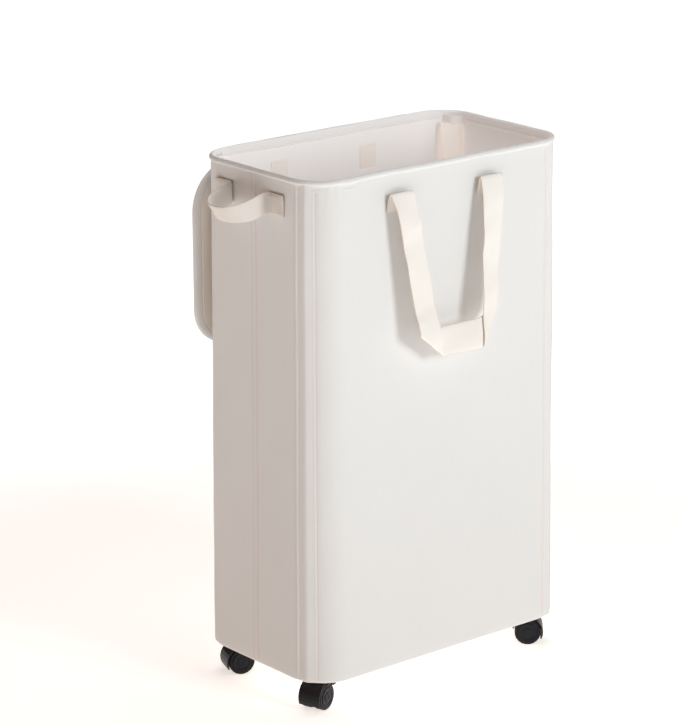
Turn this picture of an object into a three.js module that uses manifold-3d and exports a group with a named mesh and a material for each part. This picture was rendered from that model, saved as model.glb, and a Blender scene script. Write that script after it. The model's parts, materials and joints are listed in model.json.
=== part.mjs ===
// A slim rolling laundry hamper: a tall fabric tub on a wire rim and four corner rods, with a stiffened
// floor on four twin-wheel casters, two long carrying straps, two side loops and a hinged fabric lid
// that hangs open behind the tub.
//
// Millimetres, +Z up, the long front faces -Y. The origin is on the floor, under the middle of the
// object's overall box.

import * as THREE from 'three';
import { mergeVertices } from 'three/addons/utils/BufferGeometryUtils.js';
import Module from 'manifold-3d';

const wasm = await Module();
wasm.setup();

// ---------------------------------------------------------------------------------- driving sizes

// Gap kept between pieces that touch, and the steps of round corners, wheels and small shafts.
const gap = 0.3;
const cornerSteps = 6;
const roundSteps = 20;
const smallRoundSteps = 12;

// Tub.
const tubLength = 440;
const tubDepth = 250;
const rimHeight = 720;
const cornerRadius = 50;
const wallThickness = 3;

// Rim: a steel wire in a fabric hem that folds over the top of the walls.
const rimWireRadius = 1.5;
const hemThickness = 1.7;
const hemDrop = 14;

// Floor, from below: outer fabric, stiff board, inner lining.
const bottomCoverThickness = 2;
const baseBoardThickness = 5;
const floorLiningThickness = 1.5;
const floorLiningCornerCut = 20;

// Corner rods, and the flaps that close the tops of their pockets. The rod angle is measured round the
// corner from the start of its bend.
const rodRadius = 3.5;
const rodAngle = 30;
const rodTopBelowHem = 5;
const flapWidth = 32;
const flapDrop = 53;
const flapThickness = 1.2;
const flapStandOff = 1.5;
const flapBelowHem = 3;

// Webbing. The straps' tops are set down from the rim.
const webbingThickness = 2.2;
const longStrapWidth = 38;
const longStrapSpacing = 153;
const frontStrapOffset = -5.5;
const longStrapDrop = 232;
const longStrapBottomBand = 34;
const longStrapBottomSpan = 100;
const longStrapBelowRim = 30;
const longStrapSewnLength = 34;
const longStrapHangAngle = 9;
const sideStrapWidth = 28;
const sideStrapSewnLength = 35;
const sideLoopSpan = 72;
const sideLoopBulge = 52;
const sideLoopBelowRim = 39;
const sideLoopDroop = 20;
const sideLoopTaper = 0.5;

// Lid: a board between two fabric faces, with a folded binding round its edge. It is set in from the
// tub's length at each end and from the tub's depth, and hangs from below the rim, clear of the back
// strap.
const lidEndSetIn = 6;
const lidDepthSetIn = 3;
const lidBelowRim = 21;
const lidHingeEndRadius = 66;
const lidFreeEndRadius = 48;
const lidCoverThickness = 0.9;
const lidBoardThickness = 2.6;
const lidBindingThickness = 0.8;
const lidBindingWidth = 11;
const lidStrapClearance = 1;
const lidFrontOverhang = 3.3;
const hingeStripEndSetIn = 64;
const hingeStripThickness = 1;

// Casters: how far each pivot is set in from the tub's ends and sides, the room over the hood for the
// stem's flange, and the wheel pair behind each pivot.
const casterEndSetIn = 44;
const casterSideSetIn = 45;
const casterHeadroom = 6.5;
const casterTrail = 13;
const wheelRadius = 18;
const wheelWidth = 12.5;
const wheelSideGap = 0.5;
const hoodHubRadius = 6.5;
const hoodWebThickness = 6;
const hoodClearance = 1.7;
const hoodThickness = 1.8;
const hoodRearAngle = -26;
const hoodFrontAngle = 146;
const hoodBrimLength = 6;
const hoodBossRadius = 8;
const axleRadius = 2.5;
const axleEndCover = 3.2;
const stemPinRadius = 3;
const stemPinDepth = 9;
const stemFlangeRadius = 9;
const stemFlangeThickness = 2.2;
const stemThreadRadius = 4;
const nutBarrelRadius = 5.5;
const nutFlangeRadius = 9;
const nutFlangeThickness = 1.2;

// Corner order goes round the tub; each caster stands turned as it last rolled.
const corners = [
  { name: 'front_left', sideX: -1, sideY: -1, bendStart: 180, casterTurn: 200 },
  { name: 'front_right', sideX: 1, sideY: -1, bendStart: 270, casterTurn: -42 },
  { name: 'back_right', sideX: 1, sideY: 1, bendStart: 0, casterTurn: 25 },
  { name: 'back_left', sideX: -1, sideY: 1, bendStart: 90, casterTurn: 160 },
];

// ---------------------------------------------------------------------------------- worked-out places

const halfLength = tubLength / 2;
const halfDepth = tubDepth / 2;
const groundClearance = 2 * wheelRadius + hoodClearance + hoodThickness + casterHeadroom;
const casterPivotX = halfLength - casterEndSetIn;
const casterPivotY = halfDepth - casterSideSetIn;
const hemBottom = rimHeight - hemDrop;
const wireCentreHeight = rimHeight - hemThickness - gap - rimWireRadius;
const wallTop = wireCentreHeight - rimWireRadius - gap;
const bottomCoverTop = groundClearance + bottomCoverThickness;
const boardBottom = bottomCoverTop + gap;
const boardTop = boardBottom + baseBoardThickness;
const liningBottom = boardTop + gap;
const liningTop = liningBottom + floorLiningThickness;
const longStrapTop = rimHeight - longStrapBelowRim;
const sideLoopHeight = rimHeight - sideLoopBelowRim;
const strapPivotOffset = gap + webbingThickness + gap + webbingThickness / 2 + gap;

// The lid hangs with its near side at lidNear and its far side at lidFar. Its axis is where a turn of
// three quarters lays the far side on the rim, with the free edge just past the front of the rim.
const lidBindingGap = lidBindingThickness + gap;
const lidStack = 2 * (lidCoverThickness + gap) + lidBoardThickness;
const lidLength = tubLength - 2 * lidEndSetIn;
const lidHeight = tubDepth - lidDepthSetIn;
const lidTop = rimHeight - lidBelowRim;
const hingeStripLength = lidLength - 2 * hingeStripEndSetIn;
const lidNear = halfDepth + 2 * (gap + webbingThickness) + lidStrapClearance;
const lidFar = lidNear + lidStack + 2 * lidBindingGap;
const lidBottom = lidTop - lidHeight;
const rimReach = halfDepth + hemThickness + gap;
const lidAxisSum = rimHeight + gap + lidFar;
const lidAxisDifference = -rimReach - lidFrontOverhang - lidBottom;
const lidAxisY = (lidAxisSum + lidAxisDifference) / 2;
const lidAxisZ = (lidAxisSum - lidAxisDifference) / 2;

// The box's middle, in front-to-back direction, between the hanging strap and the hanging lid.
const strapReach = Math.sin(THREE.MathUtils.degToRad(longStrapHangAngle)) * longStrapDrop
  + Math.cos(THREE.MathUtils.degToRad(longStrapHangAngle)) * webbingThickness / 2;
const frontReach = halfDepth + strapPivotOffset + strapReach;
const backReach = lidFar;
const middleShift = (frontReach - backReach) / 2;

// ---------------------------------------------------------------------------------- finishes

const finish = (color, roughness, metalness = 0) => ({ color, roughness, metalness });
const canvas = finish(0xf0ebe4, 0.9);
const lining = finish(0xe9e0da, 0.9);
const webbing = finish(0xf8efe2, 0.85);
const board = finish(0x8c8378, 0.8);
const steel = finish(0xb9bcc0, 0.35, 1);
const fibreRod = finish(0xd9d9d6, 0.4);
const blackPlastic = finish(0x17171b, 0.45);

const hamper = new THREE.Group();
const tub = new THREE.Group();
tub.position.y = middleShift;
hamper.add(tub);

/** Adds one named piece to a group. */
function addPiece(name, geometry, look, parent = tub) {
  const mesh = new THREE.Mesh(geometry, new THREE.MeshStandardMaterial(look));
  mesh.name = name;
  parent.add(mesh);
  return mesh;
}

// ---------------------------------------------------------------------------------- geometry helpers

const radians = THREE.MathUtils.degToRad;

/** A box between two opposite corners. */
function boxBetween(low, high) {
  const size = high.map((value, axis) => value - low[axis]);
  const geometry = new THREE.BoxGeometry(...size);
  return geometry.translate(...high.map((value, axis) => (value + low[axis]) / 2));
}

/** A shape extruded upwards from one height to another. */
function slab(shape, bottom, top) {
  const settings = { depth: top - bottom, bevelEnabled: false, curveSegments: cornerSteps };
  return new THREE.ExtrudeGeometry(shape, settings).translate(0, 0, bottom);
}

/** A shape drawn in X and Z, extruded along Y from one place to another. */
function uprightSlab(shape, front, back) {
  return slab(shape, -back, -front).rotateX(Math.PI / 2);
}

/** A round bar or disc standing on Z. */
function disc(radius, bottom, top) {
  const geometry = new THREE.CylinderGeometry(radius, radius, top - bottom, smallRoundSteps);
  return geometry.rotateX(Math.PI / 2).translate(0, 0, (top + bottom) / 2);
}

/** Points round a rectangle with round corners, set in from its outline; radii are low side, high side. */
function roundedLoop({ centreY = 0, halfX, halfY, lowRadius, highRadius }, inset) {
  const points = [];
  for (const [sideX, sideY, start, radius] of [
    [1, -1, 270, lowRadius], [1, 1, 0, highRadius], [-1, 1, 90, highRadius], [-1, -1, 180, lowRadius],
  ]) {
    for (let step = 0; step <= cornerSteps; step += 1) {
      const angle = radians(start + 90 * step / cornerSteps);
      points.push(new THREE.Vector2(
        sideX * (halfX - radius) + (radius - inset) * Math.cos(angle),
        centreY + sideY * (halfY - radius) + (radius - inset) * Math.sin(angle),
      ));
    }
  }
  return points;
}

/** A closed ring that follows a rounded rectangle; the section gives inset and height pairs. */
function ringAround(loop, section) {
  const rows = section.map(([inset, height]) => roundedLoop(loop, inset)
    .map((point) => [point.x, point.y, height]));
  const around = rows[0].length;
  const index = [];
  for (let row = 0; row < rows.length; row += 1) {
    const nextRow = (row + 1) % rows.length;
    for (let step = 0; step < around; step += 1) {
      const nextStep = (step + 1) % around;
      const a = row * around + step;
      const b = row * around + nextStep;
      const c = nextRow * around + nextStep;
      const d = nextRow * around + step;
      index.push(a, b, c, a, c, d);
    }
  }
  const geometry = new THREE.BufferGeometry();
  geometry.setAttribute('position', new THREE.Float32BufferAttribute(rows.flat(2), 3));
  geometry.setIndex(index);
  return geometry;
}

/** A closed geometry as a manifold solid. */
function solid(geometry) {
  const bare = geometry.clone();
  bare.deleteAttribute('normal');
  bare.deleteAttribute('uv');
  const merged = mergeVertices(bare, 1e-4);
  return new wasm.Manifold(new wasm.Mesh({
    numProp: 3,
    vertProperties: merged.attributes.position.array,
    triVerts: Uint32Array.from(merged.index.array),
  }));
}

/** A manifold solid as a geometry. */
function geometryOf(manifold) {
  const { vertProperties, triVerts } = manifold.getMesh();
  const geometry = new THREE.BufferGeometry();
  geometry.setAttribute('position', new THREE.Float32BufferAttribute(vertProperties, 3));
  geometry.setIndex(Array.from(triVerts));
  return geometry;
}

// ---------------------------------------------------------------------------------- tub

const tubOutline = { halfX: halfLength, halfY: halfDepth, lowRadius: cornerRadius, highRadius: cornerRadius };

/** The four flat walls, between the corner bends. */
function addWalls() {
  const endX = halfLength - cornerRadius - gap / 2;
  const endY = halfDepth - cornerRadius - gap / 2;
  for (const [name, side] of [['front_panel', -1], ['back_panel', 1]]) {
    const faces = [side * halfDepth, side * (halfDepth - wallThickness)].sort((a, b) => a - b);
    const shape = boxBetween([-endX, faces[0], groundClearance], [endX, faces[1], wallTop]);
    addPiece(name, shape, canvas);
  }
  for (const [name, side] of [['left_panel', -1], ['right_panel', 1]]) {
    const faces = [side * halfLength, side * (halfLength - wallThickness)].sort((a, b) => a - b);
    const shape = boxBetween([faces[0], -endY, groundClearance], [faces[1], endY, wallTop]);
    addPiece(name, shape, canvas);
  }
}

/** The centre of a corner's bend. */
function bendCentre({ sideX, sideY }) {
  return [sideX * (halfLength - cornerRadius), sideY * (halfDepth - cornerRadius)];
}

/** One quarter-round wall that joins two flat ones. */
function addCornerPanel(corner) {
  const [x, y] = bendCentre(corner);
  const halfGap = THREE.MathUtils.radToDeg(gap / 2 / cornerRadius);
  const sweep = 90 - 2 * halfGap;
  const points = [];
  for (const [radius, start, turn] of [
    [cornerRadius, halfGap, sweep],
    [cornerRadius - wallThickness, halfGap + sweep, -sweep],
  ]) {
    for (let step = 0; step <= cornerSteps; step += 1) {
      const angle = radians(corner.bendStart + start + turn * step / cornerSteps);
      points.push(new THREE.Vector2(x + radius * Math.cos(angle), y + radius * Math.sin(angle)));
    }
  }
  const shape = new THREE.Shape(points);
  addPiece(`corner_panel_${corner.name}`, slab(shape, groundClearance, wallTop), canvas);
}

/** The wire ring and the hem that folds over it and the wall tops. */
function addRim() {
  const wireSection = [];
  const wireSides = 8;
  for (let side = 0; side < wireSides; side += 1) {
    const angle = 2 * Math.PI * side / wireSides;
    wireSection.push([
      wallThickness / 2 - rimWireRadius * Math.cos(angle),
      wireCentreHeight + rimWireRadius * Math.sin(angle),
    ]);
  }
  addPiece('rim_wire', ringAround(tubOutline, wireSection), steel);
  const outside = -gap - hemThickness;
  const inside = wallThickness + gap + hemThickness;
  const hemSection = [
    [outside, hemBottom], [outside, rimHeight - hemThickness], [outside + hemThickness / 2, rimHeight],
    [inside - hemThickness / 2, rimHeight], [inside, rimHeight - hemThickness], [inside, hemBottom],
    [inside - hemThickness, hemBottom], [inside - hemThickness, rimHeight - hemThickness],
    [outside + hemThickness, rimHeight - hemThickness], [outside + hemThickness, hemBottom],
  ];
  addPiece('rim_hem', ringAround(tubOutline, hemSection), canvas);
}

/** The fabric under the tub, with a round hole at each caster pivot. */
function addBottomCover() {
  const shape = new THREE.Shape(roundedLoop(tubOutline, wallThickness + gap));
  for (const { sideX, sideY } of corners) {
    const hole = new THREE.Path();
    const holeRadius = stemThreadRadius + gap;
    hole.absarc(sideX * casterPivotX, sideY * casterPivotY, holeRadius, 0, 2 * Math.PI, true);
    shape.holes.push(hole);
  }
  addPiece('bottom_cover', slab(shape, groundClearance, bottomCoverTop), canvas);
}

/** The lining over the board; its wide corners leave room for the rods to stand on the board. */
function addFloorLining() {
  const inset = wallThickness + gap;
  const cornerCut = cornerRadius + floorLiningCornerCut;
  const outline = {
    halfX: halfLength - inset,
    halfY: halfDepth - inset,
    lowRadius: cornerCut,
    highRadius: cornerCut,
  };
  addPiece('floor_lining', slab(new THREE.Shape(roundedLoop(outline, 0)), liningBottom, liningTop), lining);
}

/** The board's holes are stepped, so that each nut's flange lies flush with the board's top. */
function addBaseBoard() {
  const barrelHole = nutBarrelRadius + gap;
  const plain = new THREE.Shape(roundedLoop(tubOutline, wallThickness + gap));
  const upperHole = new THREE.Shape().absarc(0, 0, nutFlangeRadius + gap, 0, 2 * Math.PI, false);
  const lowerHole = new THREE.Shape().absarc(0, 0, barrelHole, 0, 2 * Math.PI, false);
  const recess = boardTop - nutFlangeThickness - gap;
  let blank = solid(slab(plain, boardBottom, boardTop));
  for (const { sideX, sideY } of corners) {
    const place = [sideX * casterPivotX, sideY * casterPivotY, 0];
    blank = blank.subtract(solid(slab(lowerHole, boardBottom - 1, boardTop + 1).translate(...place)));
    blank = blank.subtract(solid(slab(upperHole, recess, boardTop + 1).translate(...place)));
  }
  addPiece('base_board', geometryOf(blank), board);
}

/** A corner's rod, and the flap that hangs over the rod's top. */
function addRodAndFlap(corner) {
  const [x, y] = bendCentre(corner);
  const turn = radians(corner.bendStart + rodAngle);
  const place = new THREE.Group();
  place.position.set(x, y, 0);
  place.rotation.z = turn;
  tub.add(place);
  const rodDistance = cornerRadius - wallThickness - gap - rodRadius;
  const rod = disc(rodRadius, boardTop + gap, hemBottom - rodTopBelowHem).translate(rodDistance, 0, 0);
  addPiece(`support_rod_${corner.name}`, rod, fibreRod, place);
  const flapFace = rodDistance - rodRadius - flapStandOff;
  const flapTop = hemBottom - flapBelowHem;
  const flap = boxBetween(
    [flapFace - flapThickness, -flapWidth / 2, flapTop - flapDrop],
    [flapFace, flapWidth / 2, flapTop],
  );
  addPiece(`corner_flap_${corner.name}`, flap, lining, place);
}

// ---------------------------------------------------------------------------------- straps

/** The long strap's loop seen from the front, hanging down from height zero. */
function longStrapShape() {
  const outerTop = (longStrapSpacing + longStrapWidth) / 2;
  const innerTop = (longStrapSpacing - longStrapWidth) / 2;
  const innerBottom = longStrapBottomSpan / 2 - longStrapWidth / 2;
  const outerBottom = longStrapBottomSpan / 2 + longStrapWidth / 2;
  const innerFloor = longStrapBottomBand - longStrapDrop;
  const bend = longStrapBottomBand / 2;
  const shape = new THREE.Shape();
  shape.moveTo(-outerTop, 0);
  shape.lineTo(-outerBottom, bend - longStrapDrop);
  shape.quadraticCurveTo(-outerBottom + bend / 2, -longStrapDrop, -outerBottom + 2 * bend, -longStrapDrop);
  shape.lineTo(outerBottom - 2 * bend, -longStrapDrop);
  shape.quadraticCurveTo(outerBottom - bend / 2, -longStrapDrop, outerBottom, bend - longStrapDrop);
  shape.lineTo(outerTop, 0);
  shape.lineTo(innerTop, 0);
  shape.lineTo(innerBottom, innerFloor);
  shape.lineTo(-innerBottom, innerFloor);
  shape.lineTo(-innerTop, 0);
  return shape;
}

/** A long strap's end, sewn flat on a wall. */
function sewnEnd(side, middle) {
  const faces = [side * (halfDepth + gap), side * (halfDepth + gap + webbingThickness)].sort((a, b) => a - b);
  const top = longStrapTop - webbingThickness;
  return boxBetween(
    [middle - longStrapWidth / 2, faces[0], top - longStrapSewnLength],
    [middle + longStrapWidth / 2, faces[1], top],
  );
}

/** The front strap swings out from the folds above its two sewn ends, a little left of the middle. */
function addFrontHandle() {
  const place = new THREE.Group();
  place.position.set(frontStrapOffset, -halfDepth - strapPivotOffset, longStrapTop);
  place.rotation.x = -radians(longStrapHangAngle);
  tub.add(place);
  const loop = uprightSlab(longStrapShape(), -webbingThickness / 2, webbingThickness / 2);
  addPiece('front_handle_loop', loop, webbing, place);
  addPiece('front_handle_end_left', sewnEnd(-1, frontStrapOffset - longStrapSpacing / 2), webbing);
  addPiece('front_handle_end_right', sewnEnd(-1, frontStrapOffset + longStrapSpacing / 2), webbing);
}

/** The back strap lies flat on the back wall, under the hanging lid. */
function addBackHandle() {
  const near = halfDepth + gap + webbingThickness + gap;
  const loop = uprightSlab(longStrapShape(), near, near + webbingThickness).translate(0, 0, longStrapTop);
  let strap = solid(loop);
  for (const middle of [-longStrapSpacing / 2, longStrapSpacing / 2]) {
    const fold = boxBetween(
      [middle - longStrapWidth / 2, halfDepth + gap, longStrapTop - 2 * webbingThickness],
      [middle + longStrapWidth / 2, near + webbingThickness, longStrapTop],
    );
    strap = strap.add(solid(sewnEnd(1, middle))).add(solid(fold));
  }
  addPiece('back_handle', geometryOf(strap), webbing);
}

/** A side loop seen from above, bulging towards +X from the strap's pivot line. */
function sideLoopShape() {
  const shape = new THREE.Shape();
  const half = sideLoopSpan / 2;
  shape.moveTo(0, -half);
  shape.bezierCurveTo(sideLoopBulge * 0.75, -half, sideLoopBulge, -half * 0.6, sideLoopBulge, 0);
  shape.bezierCurveTo(sideLoopBulge, half * 0.6, sideLoopBulge * 0.75, half, 0, half);
  const inner = half - webbingThickness;
  const innerBulge = sideLoopBulge - webbingThickness;
  shape.lineTo(0, inner);
  shape.bezierCurveTo(innerBulge * 0.75, inner, innerBulge, inner * 0.6, innerBulge, 0);
  shape.bezierCurveTo(innerBulge, -inner * 0.6, innerBulge * 0.75, -inner, 0, -inner);
  return shape;
}

/** The loop narrows towards its pivot line, so that it can swing up and down beside the wall. */
function sideLoopGeometry() {
  const half = sideStrapWidth / 2;
  const neck = gap + webbingThickness / 2;
  const band = solid(slab(sideLoopShape(), -half, half));
  const reach = sideLoopBulge + gap;
  const taper = new THREE.Shape();
  taper.moveTo(neck, -neck * sideLoopTaper);
  taper.lineTo(half / sideLoopTaper, -half);
  taper.lineTo(reach, -half);
  taper.lineTo(reach, half);
  taper.lineTo(half / sideLoopTaper, half);
  taper.lineTo(neck, neck * sideLoopTaper);
  const cutter = solid(uprightSlab(taper, -sideLoopSpan, sideLoopSpan));
  const pieces = band.intersect(cutter);
  return geometryOf(pieces);
}

/** One side loop with its two sewn ends. */
function addSideHandle(name, side) {
  const place = new THREE.Group();
  place.position.set(side * halfLength, 0, sideLoopHeight);
  place.rotation.z = side > 0 ? 0 : Math.PI;
  tub.add(place);
  const arm = new THREE.Group();
  arm.position.x = gap + webbingThickness + gap;
  arm.rotation.y = radians(sideLoopDroop);
  place.add(arm);
  addPiece(`${name}_handle_loop`, sideLoopGeometry(), webbing, arm);
  for (const [end, along] of [['front', -side], ['back', side]]) {
    const inner = along * sideLoopSpan / 2;
    const outer = along * (sideLoopSpan / 2 + sideStrapSewnLength);
    const tab = boxBetween(
      [gap, Math.min(inner, outer), -sideStrapWidth / 2],
      [gap + webbingThickness, Math.max(inner, outer), sideStrapWidth / 2],
    );
    addPiece(`${name}_handle_end_${end}`, tab, webbing, place);
  }
}

// ---------------------------------------------------------------------------------- lid

const lidOutline = {
  centreY: lidTop - lidHeight / 2,
  halfX: lidLength / 2,
  halfY: lidHeight / 2,
  lowRadius: lidFreeEndRadius,
  highRadius: lidHingeEndRadius,
};

/** A layer of the lid, set in from its edge, between two distances from the near side. */
function lidLayer(inset, near, far) {
  return uprightSlab(new THREE.Shape(roundedLoop(lidOutline, inset)), lidNear + near, lidNear + far);
}

/** The lid's pieces hang in a group that is placed on the hinge's axis. */
function addLid() {
  const lid = new THREE.Group();
  lid.position.set(0, lidAxisY, lidAxisZ);
  tub.add(lid);
  const hang = (name, geometry, look) => {
    addPiece(name, geometry.translate(0, -lidAxisY, -lidAxisZ), look, lid);
  };
  const faceNear = lidBindingGap;
  const boardNear = faceNear + lidCoverThickness + gap;
  const underNear = boardNear + lidBoardThickness + gap;
  const inset = lidBindingGap;
  hang('lid_top_cover', lidLayer(inset, faceNear, faceNear + lidCoverThickness), canvas);
  hang('lid_board', lidLayer(inset, boardNear, boardNear + lidBoardThickness), board);
  hang('lid_under_cover', lidLayer(inset, underNear, underNear + lidCoverThickness), lining);
  const total = lidFar - lidNear;
  const skin = lidBindingThickness;
  const section = [
    [0, total], [lidBindingWidth, total], [lidBindingWidth, total - skin], [skin, total - skin],
    [skin, skin], [lidBindingWidth, skin], [lidBindingWidth, 0], [0, 0],
  ];
  hang('lid_binding', ringAround(lidOutline, section).rotateX(Math.PI / 2).translate(0, lidFar, 0), canvas);
  const stripMiddle = (lidNear + lidFar) / 2;
  const strip = boxBetween(
    [-hingeStripLength / 2, stripMiddle - hingeStripThickness / 2, lidTop + gap],
    [hingeStripLength / 2, stripMiddle + hingeStripThickness / 2, rimHeight - hemThickness],
  );
  hang('lid_hinge_strip', strip, canvas);
}

// ---------------------------------------------------------------------------------- casters

const hoodInner = wheelRadius + hoodClearance;
const hoodOuter = hoodInner + hoodThickness;
const hoodHalfWidth = hoodWebThickness / 2 + wheelSideGap + wheelWidth;
const bossTop = groundClearance - gap - stemFlangeThickness - gap;
const axleReach = hoodHalfWidth - axleEndCover - gap;

/** A sector of a ring seen from the side, round the axle, with +X to the rear. */
function ringSector(inner, outer, startDegrees, endDegrees) {
  const shape = new THREE.Shape();
  shape.absarc(casterTrail, wheelRadius, outer, radians(startDegrees), radians(endDegrees), false);
  shape.absarc(casterTrail, wheelRadius, inner, radians(endDegrees), radians(startDegrees), true);
  return shape;
}

/** The hood: an arched cover over both wheels, a web between them, a brim and the pivot's boss. */
function hoodGeometry() {
  const halfWeb = hoodWebThickness / 2;
  const cover = ringSector(hoodInner, hoodOuter, hoodRearAngle, hoodFrontAngle);
  let hood = solid(uprightSlab(cover, -hoodHalfWidth, hoodHalfWidth));
  const wheelRoom = new THREE.Shape().absarc(casterTrail, wheelRadius, hoodInner, 0, 2 * Math.PI, false);
  const boss = solid(disc(hoodBossRadius, wheelRadius, bossTop))
    .subtract(solid(uprightSlab(wheelRoom, -hoodHalfWidth, hoodHalfWidth)));
  hood = hood.add(boss);
  const frontAngle = radians(hoodFrontAngle);
  const brimX = casterTrail + hoodInner * Math.cos(frontAngle);
  const brimZ = wheelRadius + hoodInner * Math.sin(frontAngle);
  const brim = boxBetween(
    [brimX - hoodBrimLength, -hoodHalfWidth, brimZ],
    [brimX + hoodThickness / 2, hoodHalfWidth, brimZ + hoodThickness],
  );
  hood = hood.add(solid(brim));
  const web = ringSector(hoodHubRadius - hoodThickness / 2, hoodInner + hoodThickness / 2, 0, hoodFrontAngle);
  hood = hood.add(solid(uprightSlab(web, -halfWeb, halfWeb)));
  const hub = new THREE.Shape().absarc(casterTrail, wheelRadius, hoodHubRadius, 0, 2 * Math.PI, false);
  hood = hood.add(solid(uprightSlab(hub, -halfWeb, halfWeb)));
  const axleRoom = axleRadius + gap;
  const axleHole = new THREE.Shape().absarc(casterTrail, wheelRadius, axleRoom, 0, 2 * Math.PI, false);
  hood = hood.subtract(solid(uprightSlab(axleHole, -hoodWebThickness, hoodWebThickness)));
  const pinHole = disc(stemPinRadius + gap, bossTop - stemPinDepth, bossTop + 1);
  return geometryOf(hood.subtract(solid(pinHole)));
}

/** A wheel with a flat facet down, a blind axle hole on its inner side and a dished outer side. */
function wheelGeometry() {
  const tread = wheelRadius / Math.cos(Math.PI / roundSteps);
  const dish = 1.2;
  const points = [
    [0, axleEndCover], [axleRadius + gap, axleEndCover], [axleRadius + gap, wheelWidth],
    [tread - dish, wheelWidth], [tread, wheelWidth - dish], [tread, dish], [tread - dish, 0],
    [wheelRadius - 3 * dish, 0], [wheelRadius - 4 * dish, dish / 2], [0, dish / 2],
  ];
  const profile = points.map(([radius, along]) => new THREE.Vector2(radius, along)).reverse();
  return new THREE.LatheGeometry(profile, roundSteps, Math.PI / roundSteps);
}

/** A shaft standing on the axis, from radius and height pairs. */
function turned(pairs) {
  const profile = pairs.map(([radius, height]) => new THREE.Vector2(radius, height));
  return new THREE.LatheGeometry(profile, smallRoundSteps).rotateX(Math.PI / 2);
}

function addCaster(corner) {
  const place = new THREE.Group();
  place.position.set(corner.sideX * casterPivotX, corner.sideY * casterPivotY, 0);
  tub.add(place);
  const stemTop = boardTop - nutFlangeThickness - gap;
  const flangeBottom = bossTop + gap;
  const flangeTop = flangeBottom + stemFlangeThickness;
  addPiece(`caster_stem_${corner.name}`, turned([
    [0, bossTop - stemPinDepth + gap], [stemPinRadius, bossTop - stemPinDepth + gap],
    [stemPinRadius, flangeBottom], [stemFlangeRadius, flangeBottom], [stemFlangeRadius, flangeTop],
    [stemThreadRadius, flangeTop], [stemThreadRadius, stemTop], [0, stemTop],
  ]), steel, place);
  const nutBottom = boardBottom + gap;
  const flangeUnder = boardTop - nutFlangeThickness;
  addPiece(`caster_nut_${corner.name}`, turned([
    [stemThreadRadius + gap, nutBottom], [nutBarrelRadius, nutBottom], [nutBarrelRadius, flangeUnder],
    [nutFlangeRadius, flangeUnder], [nutFlangeRadius, boardTop], [stemThreadRadius + gap, boardTop],
    [stemThreadRadius + gap, nutBottom],
  ]), steel, place);
  const swivel = new THREE.Group();
  swivel.rotation.z = radians(corner.casterTurn);
  place.add(swivel);
  addPiece(`caster_hood_${corner.name}`, hoodGeometry(), blackPlastic, swivel);
  const axle = new THREE.CylinderGeometry(axleRadius, axleRadius, 2 * axleReach, smallRoundSteps);
  addPiece(`caster_axle_${corner.name}`, axle.translate(casterTrail, 0, wheelRadius), steel, swivel);
  for (const [letter, side] of [['a', 1], ['b', -1]]) {
    const wheel = wheelGeometry().rotateX(side > 0 ? Math.PI : 0);
    const outerFace = side * hoodHalfWidth;
    const name = `wheel_${corner.name}_${letter}`;
    addPiece(name, wheel.translate(casterTrail, outerFace, wheelRadius), blackPlastic, swivel);
  }
}

// ---------------------------------------------------------------------------------- assembly

addWalls();
corners.forEach(addCornerPanel);
addRim();
addBottomCover();
addBaseBoard();
addFloorLining();
corners.forEach(addRodAndFlap);
addFrontHandle();
addBackHandle();
addSideHandle('left', -1);
addSideHandle('right', 1);
addLid();
corners.forEach(addCaster);

export default hamper;
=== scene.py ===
import json
import logging
import math
from dataclasses import dataclass, field
from enum import Enum
from typing import Any, Iterable, Sequence

import bmesh
import bpy
import numpy as np
from mathutils import Matrix, Vector

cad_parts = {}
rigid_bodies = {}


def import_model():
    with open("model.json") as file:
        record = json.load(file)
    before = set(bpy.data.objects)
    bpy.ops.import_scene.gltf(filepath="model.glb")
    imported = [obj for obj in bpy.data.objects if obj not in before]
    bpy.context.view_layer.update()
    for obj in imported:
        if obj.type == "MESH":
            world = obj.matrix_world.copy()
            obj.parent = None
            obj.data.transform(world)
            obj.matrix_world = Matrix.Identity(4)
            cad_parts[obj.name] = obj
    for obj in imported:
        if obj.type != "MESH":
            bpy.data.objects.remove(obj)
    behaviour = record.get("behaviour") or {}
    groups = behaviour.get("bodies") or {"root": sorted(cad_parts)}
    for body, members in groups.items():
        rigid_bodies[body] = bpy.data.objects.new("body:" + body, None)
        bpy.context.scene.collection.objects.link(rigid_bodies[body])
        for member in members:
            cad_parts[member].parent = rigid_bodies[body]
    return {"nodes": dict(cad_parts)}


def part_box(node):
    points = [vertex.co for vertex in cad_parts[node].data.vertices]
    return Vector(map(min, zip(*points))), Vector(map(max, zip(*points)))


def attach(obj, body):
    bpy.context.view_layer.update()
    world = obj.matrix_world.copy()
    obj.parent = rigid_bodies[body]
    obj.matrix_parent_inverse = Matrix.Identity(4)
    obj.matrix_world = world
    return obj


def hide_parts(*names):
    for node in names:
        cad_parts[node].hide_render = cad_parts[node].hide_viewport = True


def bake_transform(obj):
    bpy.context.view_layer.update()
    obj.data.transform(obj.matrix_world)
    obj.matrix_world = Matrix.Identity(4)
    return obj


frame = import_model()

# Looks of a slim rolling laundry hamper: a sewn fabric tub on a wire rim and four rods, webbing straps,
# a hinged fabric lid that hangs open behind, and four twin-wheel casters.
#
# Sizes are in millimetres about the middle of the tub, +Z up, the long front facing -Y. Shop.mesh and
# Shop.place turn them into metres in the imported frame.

LOG = logging.getLogger("hamper")
METRE = 0.001
FAR = 1e3                                                    # a distance that no seam or edge reaches
TURNS = ((-1, 1, 90.0), (-1, -1, 180.0), (1, -1, 270.0), (1, 1, 0.0))     # each bend's side and start angle
CORNERS = ("front_left", "front_right", "back_right", "back_left")
BENDS = {"front_left": (-1, -1, 180.0), "front_right": (1, -1, 270.0), "back_right": (1, 1, 0.0),
         "back_left": (-1, 1, 90.0)}
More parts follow.
